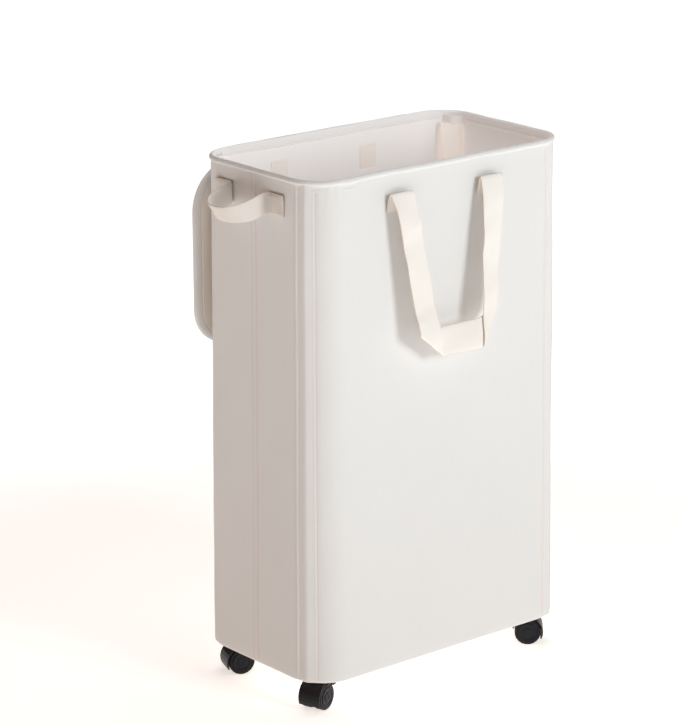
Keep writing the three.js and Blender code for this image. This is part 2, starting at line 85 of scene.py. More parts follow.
STRAP_SPOTS = (-82.0, 71.0)                                  # where the straps are sewn on, along the wall
STRAP_TOP = 690.0
Rows = np.ndarray
Colour = tuple[float, float, float]
Section = tuple[tuple[float, float], ...]


# --------------------------------------------------------------------------------------- shader graph


class Wire:
    """A node's output socket that takes part in Python expressions."""

    def __init__(self, graph: "Graph", socket: bpy.types.NodeSocket) -> None:
        """Keep the graph and the socket."""
        self.graph = graph
        self.socket = socket

    def _math(self, operation: str, *values: Any) -> "Wire":
        """Add one Math node."""
        return self.graph.node("ShaderNodeMath", {"operation": operation}, dict(enumerate(values)))

    def __add__(self, other: Any) -> "Wire":
        """Add."""
        return self._math("ADD", self, other)

    __radd__ = __add__

    def __sub__(self, other: Any) -> "Wire":
        """Subtract."""
        return self._math("SUBTRACT", self, other)

    def __rsub__(self, other: Any) -> "Wire":
        """Subtract from a number."""
        return self._math("SUBTRACT", other, self)

    def __mul__(self, other: Any) -> "Wire":
        """Multiply."""
        return self._math("MULTIPLY", self, other)

    __rmul__ = __mul__

    def __truediv__(self, other: Any) -> "Wire":
        """Divide."""
        return self._math("DIVIDE", self, other)

    def __pow__(self, other: Any) -> "Wire":
        """Raise to a power."""
        return self._math("POWER", self, other)

    def sine(self) -> "Wire":
        """Sine of an angle."""
        return self._math("SINE", self)

    def size(self) -> "Wire":
        """Absolute value."""
        return self._math("ABSOLUTE", self)


class Graph:
    """One material's node tree."""

    def __init__(self, name: str) -> None:
        """Make a material with its shader and output.

        Args:
            name: The material's name.
        """
        self.material = bpy.data.materials.new(f"{name}_finish")
        self.material.use_nodes = True
        self.tree = self.material.node_tree
        self.shader = self.tree.nodes["Principled BSDF"]

    def node(self, kind: str, settings: dict[str, Any] | None = None,
             inputs: dict[Any, Any] | None = None, output: Any = 0) -> Wire:
        """Add any node.

        Args:
            kind: The node's type.
            settings: Properties that are set first; "stops" sets a ramp's positions and colours.
            inputs: Values or wires by socket name or number.
            output: The output's name or number.

        Returns:
            The chosen output.
        """
        made = self.tree.nodes.new(kind)
        for key, value in (settings or {}).items():
            if key == "stops":
                self._stops(made.color_ramp, value)
            else:
                setattr(made, key, value)
        for key, value in (inputs or {}).items():
            self.plug(made.inputs[key], value)
        return Wire(self, made.outputs[output])

    def _stops(self, ramp: bpy.types.ColorRamp, stops: Sequence[tuple[float, Colour]]) -> None:
        """Set a ramp's stops."""
        while len(ramp.elements) < len(stops):
            ramp.elements.new(1.0)
        for element, (position, colour) in zip(ramp.elements, stops):
            element.position = position
            element.color = (*colour, 1.0)

    def plug(self, socket: bpy.types.NodeSocket, value: Any) -> None:
        """Link a wire or set a value on a socket.

        Args:
            socket: The input socket.
            value: A wire, a number, or a colour or vector.
        """
        if isinstance(value, Wire):
            self.tree.links.new(value.socket, socket)
        elif isinstance(value, tuple) and len(value) == 3 and socket.type == "RGBA":
            socket.default_value = (*value, 1.0)
        else:
            socket.default_value = value

    def place(self, name: str = "Object") -> Wire:
        """Object or UV coordinates."""
        return self.node("ShaderNodeTexCoord", output=name)

    def part(self, vector: Wire, axis: str) -> Wire:
        """One part of a vector."""
        return self.node("ShaderNodeSeparateXYZ", None, {0: vector}, axis)

    def noise(self, vector: Wire, scale: float, detail: float = 3.0, rough: float = 0.55) -> Wire:
        """Noise between 0 and 1.

        Args:
            vector: The coordinates.
            scale: Features per unit.
            detail: Octaves.
            rough: How strong the fine octaves are.

        Returns:
            The noise value.
        """
        return self.node("ShaderNodeTexNoise", None,
                         {"Vector": vector, "Scale": scale, "Detail": detail, "Roughness": rough}, "Fac")

    def stretch(self, vector: Wire, scale: Colour) -> Wire:
        """Coordinates scaled along each axis."""
        return self.node("ShaderNodeMapping", None, {"Vector": vector, "Scale": scale})

    def blend(self, share: Any, low: Any, high: Any) -> Wire:
        """Mix two colours.

        Args:
            share: How much of the second colour.
            low: The first colour.
            high: The second colour.

        Returns:
            The mixed colour.
        """
        settings = {"data_type": "RGBA", "blend_type": "MIX"}
        return self.node("ShaderNodeMix", settings, {"Factor": share, 6: low, 7: high}, 2)

    def bump(self, height: Wire, strength: float, distance: float, before: Wire | None = None) -> Wire:
        """Turn a height into a normal.

        Args:
            height: The height, about 0 to 1.
            strength: Share of the effect.
            distance: Height of one unit, in metres.
            before: A bump to add to.

        Returns:
            The normal.
        """
        inputs = {"Height": height, "Strength": strength, "Distance": distance}
        if before is not None:
            inputs["Normal"] = before
        return self.node("ShaderNodeBump", None, inputs)

    def finish(self, **values: Any) -> bpy.types.Material:
        """Set the shader's sockets, named with spaces as underscores.

        Args:
            **values: Values or wires by socket name.

        Returns:
            The material.
        """
        for key, value in values.items():
            self.plug(self.shader.inputs[key.replace("_", " ")], value)
        return self.material


# ------------------------------------------------------------------------------------------ finishes


def lighter(colour: Colour, factor: float) -> Colour:
    """A colour scaled by a factor."""
    return (colour[0] * factor, colour[1] * factor, colour[2] * factor)


@dataclass(frozen=True)
class Canvas:
    """Plain woven polyester fabric; its threads follow the piece's own UV map, in millimetres.

    The glow is painted light: an emission that stands for the daylight coming through the thin walls from
    outside, and it brightens the piece.
    """

    name: str
    tint: Colour
    thread: float = 0.62
    slub: float = 0.05
    relief: float = 0.00006
    sheen: float = 0.12
    glow: float = 0.0

    def build(self) -> bpy.types.Material:
        """Make the material.

        Returns:
            The material.
        """
        graph = Graph(self.name)
        uv = graph.place("UV")
        across = (graph.part(uv, "X") * (math.tau / self.thread)).sine()
        along = (graph.part(uv, "Y") * (math.tau / self.thread)).sine()
        weave = across * along * 0.5 + 0.5
        slubs = graph.noise(graph.stretch(uv, (0.35, 0.03, 1.0)), 1.0, 4.0, 0.6)
        place = graph.place()
        clouds = graph.noise(place, 7.0, 4.0, 0.5)
        fibre = graph.noise(place, 900.0, 2.0, 0.7)
        low = lighter(self.tint, 1.0 - self.slub)
        share = slubs * 0.45 + clouds * 0.35 + weave * 0.2
        colour = graph.blend(share, low, lighter(self.tint, 1.0 + self.slub * 0.6))
        # The seam attribute blends toward a darker pinkish brown: partly the seam line's own colour, partly
        # painted shade in seam grooves and along edges.
        seam = graph.node("ShaderNodeAttribute", {"attribute_name": "seam"}, None, "Fac")
        colour = graph.blend(seam, colour, (self.tint[0] * 0.97, self.tint[1] * 0.82, self.tint[2] * 0.75))
        roughness = 0.82 + slubs * 0.1 + weave * 0.04
        normal = graph.bump(weave * 0.6 + slubs * 0.5 + fibre * 0.4, 0.6, self.relief)
        # Emission at the glow's strength is painted light.
        return graph.finish(Base_Color=colour, Roughness=roughness, Normal=normal,
                            Sheen_Weight=self.sheen, Sheen_Roughness=0.6, Specular_IOR_Level=0.25,
                            Emission_Color=(1.0, 0.945, 0.925, 1.0), Emission_Strength=self.glow)


@dataclass(frozen=True)
class Ribbing:
    """Cotton webbing with a fine twill rib along its length; its edges are darkened and warmed as painted shade
    on the rolled selvages.
    """

    name: str
    tint: Colour
    half_width: float
    rib: float = 1.15
    pick: float = 0.9

    def build(self) -> bpy.types.Material:
        """Make the material.

        Returns:
            The material.
        """
        graph = Graph(self.name)
        uv = graph.place("UV")
        along = graph.part(uv, "X")
        across = graph.part(uv, "Y")
        slope = across.size() * 0.55
        twill = ((along + slope) * (math.tau / self.rib)).sine() * 0.5 + 0.5
        cross = (across * (math.tau / self.pick)).sine() * 0.5 + 0.5
        # Painted shade: the strap's edges turn darker and warmer, as the shade on its rolled selvages.
        edge = (across.size() / self.half_width) ** 36.0
        wool = graph.noise(graph.stretch(uv, (0.25, 1.2, 1.0)), 1.0, 4.0, 0.6)
        clouds = graph.noise(graph.place(), 12.0, 3.0, 0.5)
        share = wool * 0.4 + twill * 0.2 + clouds * 0.4
        colour = graph.blend(share, lighter(self.tint, 0.95), lighter(self.tint, 1.03))
        edge_shade_colour = (self.tint[0] * 0.84, self.tint[1] * 0.72, self.tint[2] * 0.60)
        colour = graph.blend(edge * 0.8, colour, edge_shade_colour)
        normal = graph.bump(twill * 0.6 + cross * 0.3 + wool * 0.4, 0.7, 0.00011)
        return graph.finish(Base_Color=colour, Roughness=0.8 + wool * 0.12, Normal=normal,
                            Sheen_Weight=0.15, Sheen_Roughness=0.55, Specular_IOR_Level=0.25)


@dataclass(frozen=True)
class MouldedNylon:
    """Satin black moulding: fine spark texture, faint flow streaks and dust low down."""

    name: str
    tint: Colour
    roughness: float = 0.36

    def build(self) -> bpy.types.Material:
        """Make the material.

        Returns:
            The material.
        """
        graph = Graph(self.name)
        place = graph.place()
        spark = graph.noise(place, 2600.0, 2.0, 0.6)
        flow = graph.noise(graph.stretch(place, (60.0, 60.0, 240.0)), 1.0, 3.0, 0.5)
        dust_high = graph.noise(place, 160.0, 4.0, 0.65)
        low = 1.0 - graph.part(place, "Z") / 0.045
        dust = low * dust_high * 0.05
        colour = graph.blend(dust, graph.blend(flow, lighter(self.tint, 0.75), lighter(self.tint, 1.35)),
                             (0.13, 0.125, 0.12))
        normal = graph.bump(spark * 0.7 + flow * 0.3, 0.35, 0.00005)
        return graph.finish(Base_Color=colour, Roughness=self.roughness + flow * 0.12 + dust * 0.5,
                            Normal=normal, Coat_Weight=0.04, Coat_Roughness=0.3,
                            Specular_IOR_Level=0.18)


@dataclass(frozen=True)
class ZincSteel:
    """Zinc-plated steel with a soft mottle and fine turning marks."""

    name: str
    tint: Colour = (0.56, 0.57, 0.59)

    def build(self) -> bpy.types.Material:
        """Make the material.

        Returns:
            The material.
        """
        graph = Graph(self.name)
        place = graph.place()
        spangle = graph.noise(place, 300.0, 4.0, 0.6)
        marks = graph.noise(graph.stretch(place, (20.0, 20.0, 2600.0)), 1.0, 2.0, 0.5)
        colour = graph.blend(spangle, lighter(self.tint, 0.8), lighter(self.tint, 1.15))
        normal = graph.bump(marks, 0.4, 0.00003)
        return graph.finish(Base_Color=colour, Metallic=1.0, Normal=normal,
                            Roughness=0.26 + spangle * 0.2 + marks * 0.08)


@dataclass(frozen=True)
class PressedFibre:
    """Grey-brown fibre board with visible chips and a matte, slightly fuzzy face."""

    name: str
    tint: Colour

    def build(self) -> bpy.types.Material:
        """Make the material.

        Returns:
            The material.
        """
        graph = Graph(self.name)
        place = graph.place()
        chips = graph.node("ShaderNodeTexVoronoi", {"feature": "F1"},
                           {"Vector": graph.stretch(place, (220.0, 340.0, 500.0)), "Scale": 1.0}, "Distance")
        fuzz = graph.noise(place, 1400.0, 3.0, 0.7)
        colour = graph.blend(chips * 0.7 + fuzz * 0.3, lighter(self.tint, 0.7), lighter(self.tint, 1.3))
        normal = graph.bump(chips * 0.5 + fuzz * 0.5, 0.6, 0.0002)
        return graph.finish(Base_Color=colour, Roughness=0.78 + fuzz * 0.15, Normal=normal)


@dataclass(frozen=True)
class PulledRod:
    """Pultruded fibre rod: pale, glossy, with long streaks along its length."""

    name: str
    tint: Colour

    def build(self) -> bpy.types.Material:
        """Make the material.

        Returns:
            The material.
        """
        graph = Graph(self.name)
        streak = graph.noise(graph.stretch(graph.place(), (1500.0, 1500.0, 9.0)), 1.0, 4.0, 0.6)
        colour = graph.blend(streak, lighter(self.tint, 0.82), lighter(self.tint, 1.1))
        normal = graph.bump(streak, 0.3, 0.00005)
        return graph.finish(Base_Color=colour, Roughness=0.3 + streak * 0.2, Normal=normal, Coat_Weight=0.2)


@dataclass(frozen=True)
class Thread:
    """Twisted sewing thread."""

    name: str
    tint: Colour

    def build(self) -> bpy.types.Material:
        """Make the material.

        Returns:
            The material.
        """
        graph = Graph(self.name)
        place = graph.place()
        ply = graph.noise(graph.stretch(place, (2600.0, 2600.0, 2600.0)), 1.0, 2.0, 0.6)
        colour = graph.blend(ply, lighter(self.tint, 0.8), lighter(self.tint, 1.08))
        normal = graph.bump(ply, 0.5, 0.00005)
        return graph.finish(Base_Color=colour, Roughness=0.6 + ply * 0.25, Normal=normal,
                            Sheen_Weight=0.2, Specular_IOR_Level=0.3)


@dataclass(frozen=True)
class PalePaper:
    """The studio's pale floor, with a little light of its own that is warm near the hamper."""

    name: str
    tint: Colour
    glow: Colour
    near: float = 0.7
    away: float = 1.45

    def build(self) -> bpy.types.Material:
        """Make the material.

        Returns:
            The material.
        """
        graph = Graph(self.name)
        place = graph.place()
        grain = graph.noise(place, 3.0, 3.0, 0.5)
        colour = graph.blend(grain, lighter(self.tint, 0.99), lighter(self.tint, 1.0))
        reach = (graph.part(place, "X") ** 2.0 + graph.part(place, "Y") ** 2.0) ** 0.5
        far = graph.node("ShaderNodeMapRange", {"interpolation_type": "SMOOTHSTEP", "clamp": True},
                         {"Value": reach, "From Min": self.near, "From Max": self.away})
        return graph.finish(Base_Color=colour, Roughness=0.9, Specular_IOR_Level=0.1, Emission_Strength=1.0,
                            Emission_Color=graph.blend(far, self.glow, (1.0, 1.0, 1.0)))


class Finish(Enum):
    """Every finish on the hamper."""

    CANVAS = Canvas("canvas", (0.84, 0.824, 0.808))
    # Painted light: the lining's tint is raised above the canvas and it glows, and the patch glows, to brighten
    # the inside of the tub.
    LINING = Canvas("lining", (0.90, 0.875, 0.865), thread=0.7, slub=0.04, glow=0.15)
    WEBBING = Ribbing("webbing", (0.97, 0.91, 0.85), 19.0)
    # Painted shade: the side loops' webbing is the main webbing's tint at 0.82, a darker copy for the shade the
    # loops are seen in.
    NARROW_WEBBING = Ribbing("webbing_narrow_shaded", (0.80, 0.745, 0.695), 14.0)
    PATCH = Canvas("patch", (0.93, 0.86, 0.79), thread=0.9, glow=0.11)
    # Painted light: the flap's tint is brighter than the lining's and it glows, standing for the light that
    # falls on the flap.
    FLAP = Canvas("flap", (0.97, 0.91, 0.83), thread=0.6, glow=0.26)
    BINDING = Canvas("binding", (0.83, 0.815, 0.80), thread=0.55)
    LID_FACE = Canvas("lid_face", (0.96, 0.87, 0.79), thread=0.62)
    PIPING = Canvas("piping", (0.95, 0.88, 0.76), thread=0.5)
    BOARD = PressedFibre("board", (0.27, 0.24, 0.21))
    STEEL = ZincSteel("steel")
    ROD = PulledRod("rod", (0.70, 0.70, 0.68))
    NYLON = MouldedNylon("black_plastic", (0.009, 0.009, 0.011), 0.3)
    WHEEL = MouldedNylon("black_wheel", (0.010, 0.0098, 0.013), 0.36)
    THREAD = Thread("thread", (0.86, 0.83, 0.78))

    def material(self) -> bpy.types.Material:
        """The finish's material, made once."""
        return bpy.data.materials.get(f"{self.value.name}_finish") or self.value.build()


# ------------------------------------------------------------------------------------ shapes and shop


def waves(along: Rows, up: Rows, size: float, seed: int) -> Rows:
    """Soft, repeatable unevenness of cloth.

    Args:
        along: Distance round the tub or along the piece, in mm.
        up: Height or distance across, in mm.
        size: Largest height, in mm.
        seed: Picks another pattern.

    Returns:
        Offsets in mm.
    """
    draw = np.random.default_rng(seed)
    total = np.zeros(np.broadcast(along, up).shape)
    for _ in range(14):
        length = draw.uniform(70.0, 260.0)
        turn = draw.uniform(0.0, math.tau)
        lean = draw.uniform(-0.8, 0.8)
        phase = draw.uniform(0.0, math.tau)
        total = total + np.sin((along * math.cos(lean) + up * math.sin(lean)) * math.tau / length + phase) \
            * math.cos(turn)
    return total * size / 5.0


def bell(distance: Rows, width: float) -> Rows:
    """A smooth bump that is one at nought."""
    return np.exp(-(distance / width) ** 2)


def ease(value: Rows, low: float, high: float) -> Rows:
    """Go smoothly from nought at low to one at high."""
    share = np.clip((value - low) / (high - low), 0.0, 1.0)
    return share * share * (3.0 - 2.0 * share)


def smooth_path(points: Sequence[Sequence[float]], step: float) -> Rows:
    """A smooth curve through points, evenly spaced.

    Args:
        points: The points, each of two or three numbers.
        step: Distance between the samples.

    Returns:
        The samples, one a row.
    """
    knots = np.array(points, float)
    padded = np.vstack([2 * knots[0] - knots[1], knots, 2 * knots[-1] - knots[-2]])
    dense = []
    for i in range(1, len(padded) - 2):
        before, start, end, after = padded[i - 1:i + 3]
        t = np.linspace(0.0, 1.0, 24, endpoint=False)[:, None]
        dense.append(0.5 * (2 * start + (end - before) * t
                            + (2 * before - 5 * start + 4 * end - after) * t ** 2
                            + (3 * start - before - 3 * end + after) * t ** 3))
    dense.append(knots[-1:])
    line = np.vstack(dense)
    run = np.concatenate([[0.0], np.cumsum(np.linalg.norm(np.diff(line, axis=0), axis=1))])
    wanted = np.linspace(0.0, run[-1], max(2, int(round(run[-1] / step)) + 1))
    return np.column_stack([np.interp(wanted, run, line[:, k]) for k in range(line.shape[1])])


def run_of(points: Rows, closed: bool = False) -> Rows:
    """Distance along a row of points.

    Args:
        points: The points.
        closed: Whether the last joins the first.

    Returns:
        The distance at each point, and for a closed row the whole length as well.
    """
    ends = np.vstack([points, points[:1]]) if closed else points
    return np.concatenate([[0.0], np.cumsum(np.linalg.norm(np.diff(ends, axis=0), axis=1))])


class Shop:
    """Turns shapes in millimetres about the tub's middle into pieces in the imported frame."""

    def __init__(self) -> None:
        """Find the tub's middle in the frame."""
        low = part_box("front_panel")[0].y
        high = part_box("back_panel")[1].y
        self.middle = (low + high) / 2.0

    def place(self, x: float, y: float, z: float) -> tuple[float, float, float]:
        """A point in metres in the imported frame."""
        return (x * METRE, y * METRE + self.middle, z * METRE)

    def mesh(self, name: str, points: Rows, faces: Iterable[Sequence[int]], finish: Finish,
             uv: Rows | None = None, crease: float = 50.0, seam: Rows | None = None) -> bpy.types.Object:
        """Make a smooth-shaded piece.

        Args:
            name: The piece's name.
            points: Its points, in mm.
            faces: Its faces.
            finish: Its finish.
            uv: The cloth's own coordinates at each point, in mm.
            crease: Edges sharper than this many degrees stay crisp.
            seam: How strongly each point takes the seam's darker, pinkish tint, from 0 to 1: partly the seam
                line's own colour, partly painted shade in the grooves.

        Returns:
            The piece.
        """
        data = bpy.data.meshes.new(name)
        placed = np.array(points, float) * METRE + np.array([0.0, self.middle, 0.0])
        data.from_pydata(placed.tolist(), [], [list(face) for face in faces])
        data.update()
        if uv is not None:
            layer = data.uv_layers.new(name="cloth")
            corners = np.zeros(len(data.loops), np.int32)
            data.loops.foreach_get("vertex_index", corners)
            layer.data.foreach_set("uv", np.array(uv, float)[corners].astype(np.float32).ravel())
        if seam is not None:
            layer = data.attributes.new("seam", "FLOAT", "POINT")
            layer.data.foreach_set("value", seam.astype(np.float32).ravel())
        piece = bpy.data.objects.new(name, data)
        bpy.context.collection.objects.link(piece)
        piece.data.materials.append(finish.material())
        self.shade(piece, crease)
        return piece

    def shade(self, piece: bpy.types.Object, crease: float) -> None:
        """Shade smooth, with the sharper edges kept crisp.

        Args:
            piece: The piece.
            crease: The angle in degrees over which an edge stays crisp.
        """
        bpy.ops.object.select_all(action="DESELECT")
        piece.select_set(True)
        bpy.context.view_layer.objects.active = piece
        bpy.ops.object.shade_smooth_by_angle(angle=math.radians(crease))

    def tube(self, name: str, rings: Rows, finish: Finish, uv: Rows, closed: bool, caps: bool = False,
             crease: float = 50.0, seam: Rows | None = None) -> bpy.types.Object:
        """Loft rings of points, each ring a closed loop.

        Args:
            name: The piece's name.
            rings: Ring by ring, point by point, three numbers.
            finish: Its finish.
            uv: Cloth coordinates with the same layout.
            closed: Whether the last ring joins the first.
            caps: Whether the first and last ring are closed with one face each.
            crease: Edges sharper than this many degrees stay crisp.
            seam: How strongly each point takes the seam tint (seam colour and painted shade), with the same
                layout.

        Returns:
            The piece.
        """
        count, size = rings.shape[:2]
        faces = []
        for i in range(count if closed else count - 1):
            for j in range(size):
                a, b = i * size + j, i * size + (j + 1) % size
                c, d = ((i + 1) % count) * size + (j + 1) % size, ((i + 1) % count) * size + j
                faces.append((a, b, c, d))
        if caps:
            faces.append(tuple(range(size))[::-1])
            faces.append(tuple((count - 1) * size + j for j in range(size)))
        piece = self.mesh(name, rings.reshape(-1, 3), faces, finish, uv.reshape(-1, 2), crease, seam)
        return self.outward(piece)

    def outward(self, piece: bpy.types.Object) -> bpy.types.Object:
        """Turn a closed mesh's faces outwards if its volume comes out negative.

        Args:
            piece: The closed piece.

        Returns:
            The same piece.
        """
        work = bmesh.new()
        work.from_mesh(piece.data)
        if work.calc_volume(signed=True) < 0.0:
            bmesh.ops.reverse_faces(work, faces=work.faces)
            work.to_mesh(piece.data)
        work.free()
        return piece

    def ribbon(self, name: str, middle: Rows, thickness: float, finish: Finish, uv: Rows,
               seam: Rows | None = None) -> bpy.types.Object:
        """Give a grid of points a thickness, with rounded selvages and closed ends.

        Args:
            name: The piece's name.
            middle: The grid along by across, three numbers a point.
            thickness: The cloth's thickness in mm.
            finish: Its finish.
            uv: Cloth coordinates with the same layout.
            seam: How strongly each point takes the seam tint (seam colour and painted shade), with the same
                layout.

        Returns:
            The piece.
        """
        along = np.gradient(middle, axis=0)
        across = np.gradient(middle, axis=1)
        normal = np.cross(along, across)
        normal /= np.maximum(np.linalg.norm(normal, axis=2, keepdims=True), 1e-9)
        half = thickness / 2.0
        count = middle.shape[1]
        fade = np.ones(count)
        fade[0] = fade[-1] = 0.45
        offset = normal * (half * fade)[None, :, None]
        front = middle + offset
        back = (middle - offset)[:, ::-1]
        rings = np.concatenate([front, back], axis=1)
        flat = np.concatenate([uv, uv[:, ::-1]], axis=1)
        both = None if seam is None else np.concatenate([seam, seam[:, ::-1]], axis=1)
        return self.tube(name, rings, finish, flat, closed=False, caps=True, crease=70.0, seam=both)


@dataclass
class Outline:
    """A rounded rectangle followed anticlockwise from the middle of the back."""

    half_length: float
    half_depth: float
    radius: float
    flat_step: float = 12.0
    bend_step: float = 3.0
    section: Section = ((0.0, 0.0), (90.0, 0.0))

    def corner(self, start: float) -> list[tuple[float, float]]:
        """One corner's angles and radial offsets, straight between the section's knots.

        Args:
            start: The angle where the bend starts, in degrees.

        Returns:
            Points from the bend's centre.
        """
        knots = [((self.radius + off) * math.cos(math.radians(start + angle)),
                  (self.radius + off) * math.sin(math.radians(start + angle))) for angle, off in self.section]
        found: list[tuple[float, float]] = []
        for (angle, off), (angle2, off2), a, b in zip(self.section, self.section[1:], knots, knots[1:]):
            chord = math.dist(a, b)
            steps = max(2, round(chord / self.bend_step))
            for k in range(steps):
                t = k / steps
                if angle2 - angle > 17.5:
                    turn = math.radians(start + angle + (angle2 - angle) * t)
                    reach = self.radius + off + (off2 - off) * t
                    found.append((reach * math.cos(turn), reach * math.sin(turn)))
                else:
                    found.append((a[0] + (b[0] - a[0]) * t, a[1] + (b[1] - a[1]) * t))
        return found

    def trace(self) -> tuple[Rows, Rows]:
        """Follow the outline.

        Returns:
            The points and the outward normals.
        """
        reach_x, reach_y = self.half_length - self.radius, self.half_depth - self.radius
        found: list[tuple[float, float]] = []
        last = (0.0, self.half_depth)
        for side_x, side_y, start in TURNS:
            bend = [(side_x * reach_x + x, side_y * reach_y + y) for x, y in self.corner(start)]
            steps = max(2, round(math.dist(last, bend[0]) / self.flat_step))
            gap = (bend[0][0] - last[0], bend[0][1] - last[1])
            found += [(last[0] + gap[0] * k / steps, last[1] + gap[1] * k / steps) for k in range(steps)]
            end = math.radians(start + 90.0)
            found += bend
            last = (side_x * reach_x + self.radius * math.cos(end),
                    side_y * reach_y + self.radius * math.sin(end))
        steps = max(2, round(math.dist(last, (0.0, self.half_depth)) / self.flat_step))
        found += [(last[0] + (0.0 - last[0]) * k / steps, last[1]) for k in range(steps)]
        points = np.array(found)
        before, after = np.roll(points, 1, axis=0), np.roll(points, -1, axis=0)
        tangent = after - before
        tangent /= np.linalg.norm(tangent, axis=1, keepdims=True)
        return points, np.column_stack([tangent[:, 1], -tangent[:, 0]])


def ring(points: Rows, normals: Rows, out: Any, height: Any) -> Rows:
    """Move an outline outwards and set it at a height.

    Args:
        points: The outline's points.
        normals: Its outward normals.
        out: How far outwards, one number or one a point.
        height: The height, one number or one a point.

    Returns:
        Points in space.
    """
    reach = np.broadcast_to(out, len(points))[:, None]
    return np.column_stack([points + normals * reach, np.broadcast_to(height, len(points))])


def cloth_row(run: Rows, level: float) -> Rows:
    """Cloth coordinates along a run at one level."""
    return np.column_stack([run, np.full(len(run), level)])


def rounded(bends: Sequence[tuple[float, float, float, float]], turns: int, steps: int) -> Rows:
    """Follow four bends and the straights between them, always with the same number of points.

    Args:
        bends: Each bend's centre, start angle in degrees and radius.
        turns: Steps round each bend.
        steps: Steps along each straight.

    Returns:
        The points.
    """
    found: list[tuple[float, float]] = []
    for (x, y, start, radius), after in zip(bends, [*bends[1:], bends[0]]):
        for k in range(turns + 1):
            turn = math.radians(start + 90.0 * k / turns)
            found.append((x + radius * math.cos(turn), y + radius * math.sin(turn)))
        begin = math.radians(after[2])
        goal = (after[0] + after[3] * math.cos(begin), after[1] + after[3] * math.sin(begin))
        end = found[-1]
        found += [(end[0] + (goal[0] - end[0]) * k / steps, end[1] + (goal[1] - end[1]) * k / steps)
                  for k in range(1, steps)]
    return np.array(found)


def felled_edge(seam: Rows) -> Rows:
    """Points on the two edges of a felled seam."""
    return np.abs(seam - 4.4) < 2.0


def soften(points: Rows, times: int) -> Rows:
    """Relax a closed row of points."""
    for _ in range(times):
        points = 0.5 * points + 0.25 * (np.roll(points, 1, axis=0) + np.roll(points, -1, axis=0))
    return points


# ---------------------------------------------------------------------------------------- the studio


@dataclass
class Studio:
    """Camera, floor, backdrop light and lamps."""

    shop: Shop
    eye: tuple[float, float, float] = (-2.59409, -3.04742, 1.61432)
    lens: float = 155.36
    heading: float = -39.42
    pitch: float = 16.566
    roll: float = -0.301

    def camera(self) -> None:
        """Put the camera at the viewing angle."""
        data = bpy.data.cameras.new("camera")
        data.lens = self.lens
        data.sensor_width = 36.0
        data.clip_start = 0.1
        data.clip_end = 50.0
        camera = bpy.data.objects.new("camera", data)
        turn = Matrix.Rotation(math.radians(self.heading), 4, "Z") \
            @ Matrix.Rotation(math.radians(90.0 - self.pitch), 4, "X") \
            @ Matrix.Rotation(math.radians(self.roll), 4, "Z")
        camera.matrix_world = Matrix.Translation(self.eye) @ turn
        bpy.context.collection.objects.link(camera)
        bpy.context.scene.camera = camera

    def lamp(self, name: str, spot: tuple[float, float, float], size: float, power: float,
             colour: Colour) -> None:
        """Hang one square area lamp that faces the hamper's middle.

        Args:
            name: The lamp's name.
            spot: Its place, in metres.
            size: The length of its side, in metres.
            power: Its power in watts.
            colour: Its colour.
        """
        data = bpy.data.lights.new(name, "AREA")
        data.shape = "SQUARE"
        data.size = size
        data.energy = power
        data.color = colour
        lamp = bpy.data.objects.new(name, data)
        aim = Vector((0.0, 0.0, 0.4)) - Vector(spot)
        lamp.location = spot
        lamp.rotation_euler = aim.to_track_quat("-Z", "Y").to_euler()
        bpy.context.collection.objects.link(lamp)

    def sky(self, colour: Colour, strength: float) -> None:
        """Give soft light from all round, and a white backdrop behind the hamper.

        Args:
            colour: The soft light's colour.
            strength: Its strength.
        """
        world = bpy.data.worlds.new("studio")
        bpy.context.scene.world = world
        world.use_nodes = True
        tree = world.node_tree
        soft = tree.nodes["Background"]
        soft.inputs[0].default_value = (*colour, 1.0)
        soft.inputs[1].default_value = strength
        backdrop = tree.nodes.new("ShaderNodeBackground")
        backdrop.inputs[0].default_value = (1.0, 1.0, 1.0, 1.0)
        path = tree.nodes.new("ShaderNodeLightPath")
        mix = tree.nodes.new("ShaderNodeMixShader")
        tree.links.new(path.outputs["Is Camera Ray"], mix.inputs[0])
        tree.links.new(soft.outputs[0], mix.inputs[1])
        tree.links.new(backdrop.outputs[0], mix.inputs[2])
        tree.links.new(mix.outputs[0], tree.nodes["World Output"].inputs[0])

    def build(self) -> None:
        """Make the studio."""
        self.camera()
        bpy.context.scene.view_settings.view_transform = "Standard"
        self.lamp("key", (0.55, -3.4, 1.5), 1.0, 55.0, (0.925, 0.98, 0.99))
        self.lamp("fill", (-3.2, 0.6, 1.5), 1.8, 9.0, (1.0, 0.58, 0.33))
        self.lamp("top", (0.3, 0.3, 3.4), 1.6, 34.0, (1.0, 0.99, 0.98))
        self.sky((1.0, 0.70, 0.58), 0.03)
        bpy.ops.mesh.primitive_plane_add(size=24.0, location=(0.0, 0.0, 0.0))
        floor = bpy.context.active_object
        floor.name = "studio_floor"
        bpy.ops.object.mode_set(mode="EDIT")
        bpy.ops.mesh.subdivide(number_cuts=7)
        bpy.ops.object.mode_set(mode="OBJECT")
        floor.data.materials.append(PalePaper("pale_paper", (0.80, 0.80, 0.80), (0.72, 0.67, 0.63)).build())


# ------------------------------------------------------------------------------------------- the tub


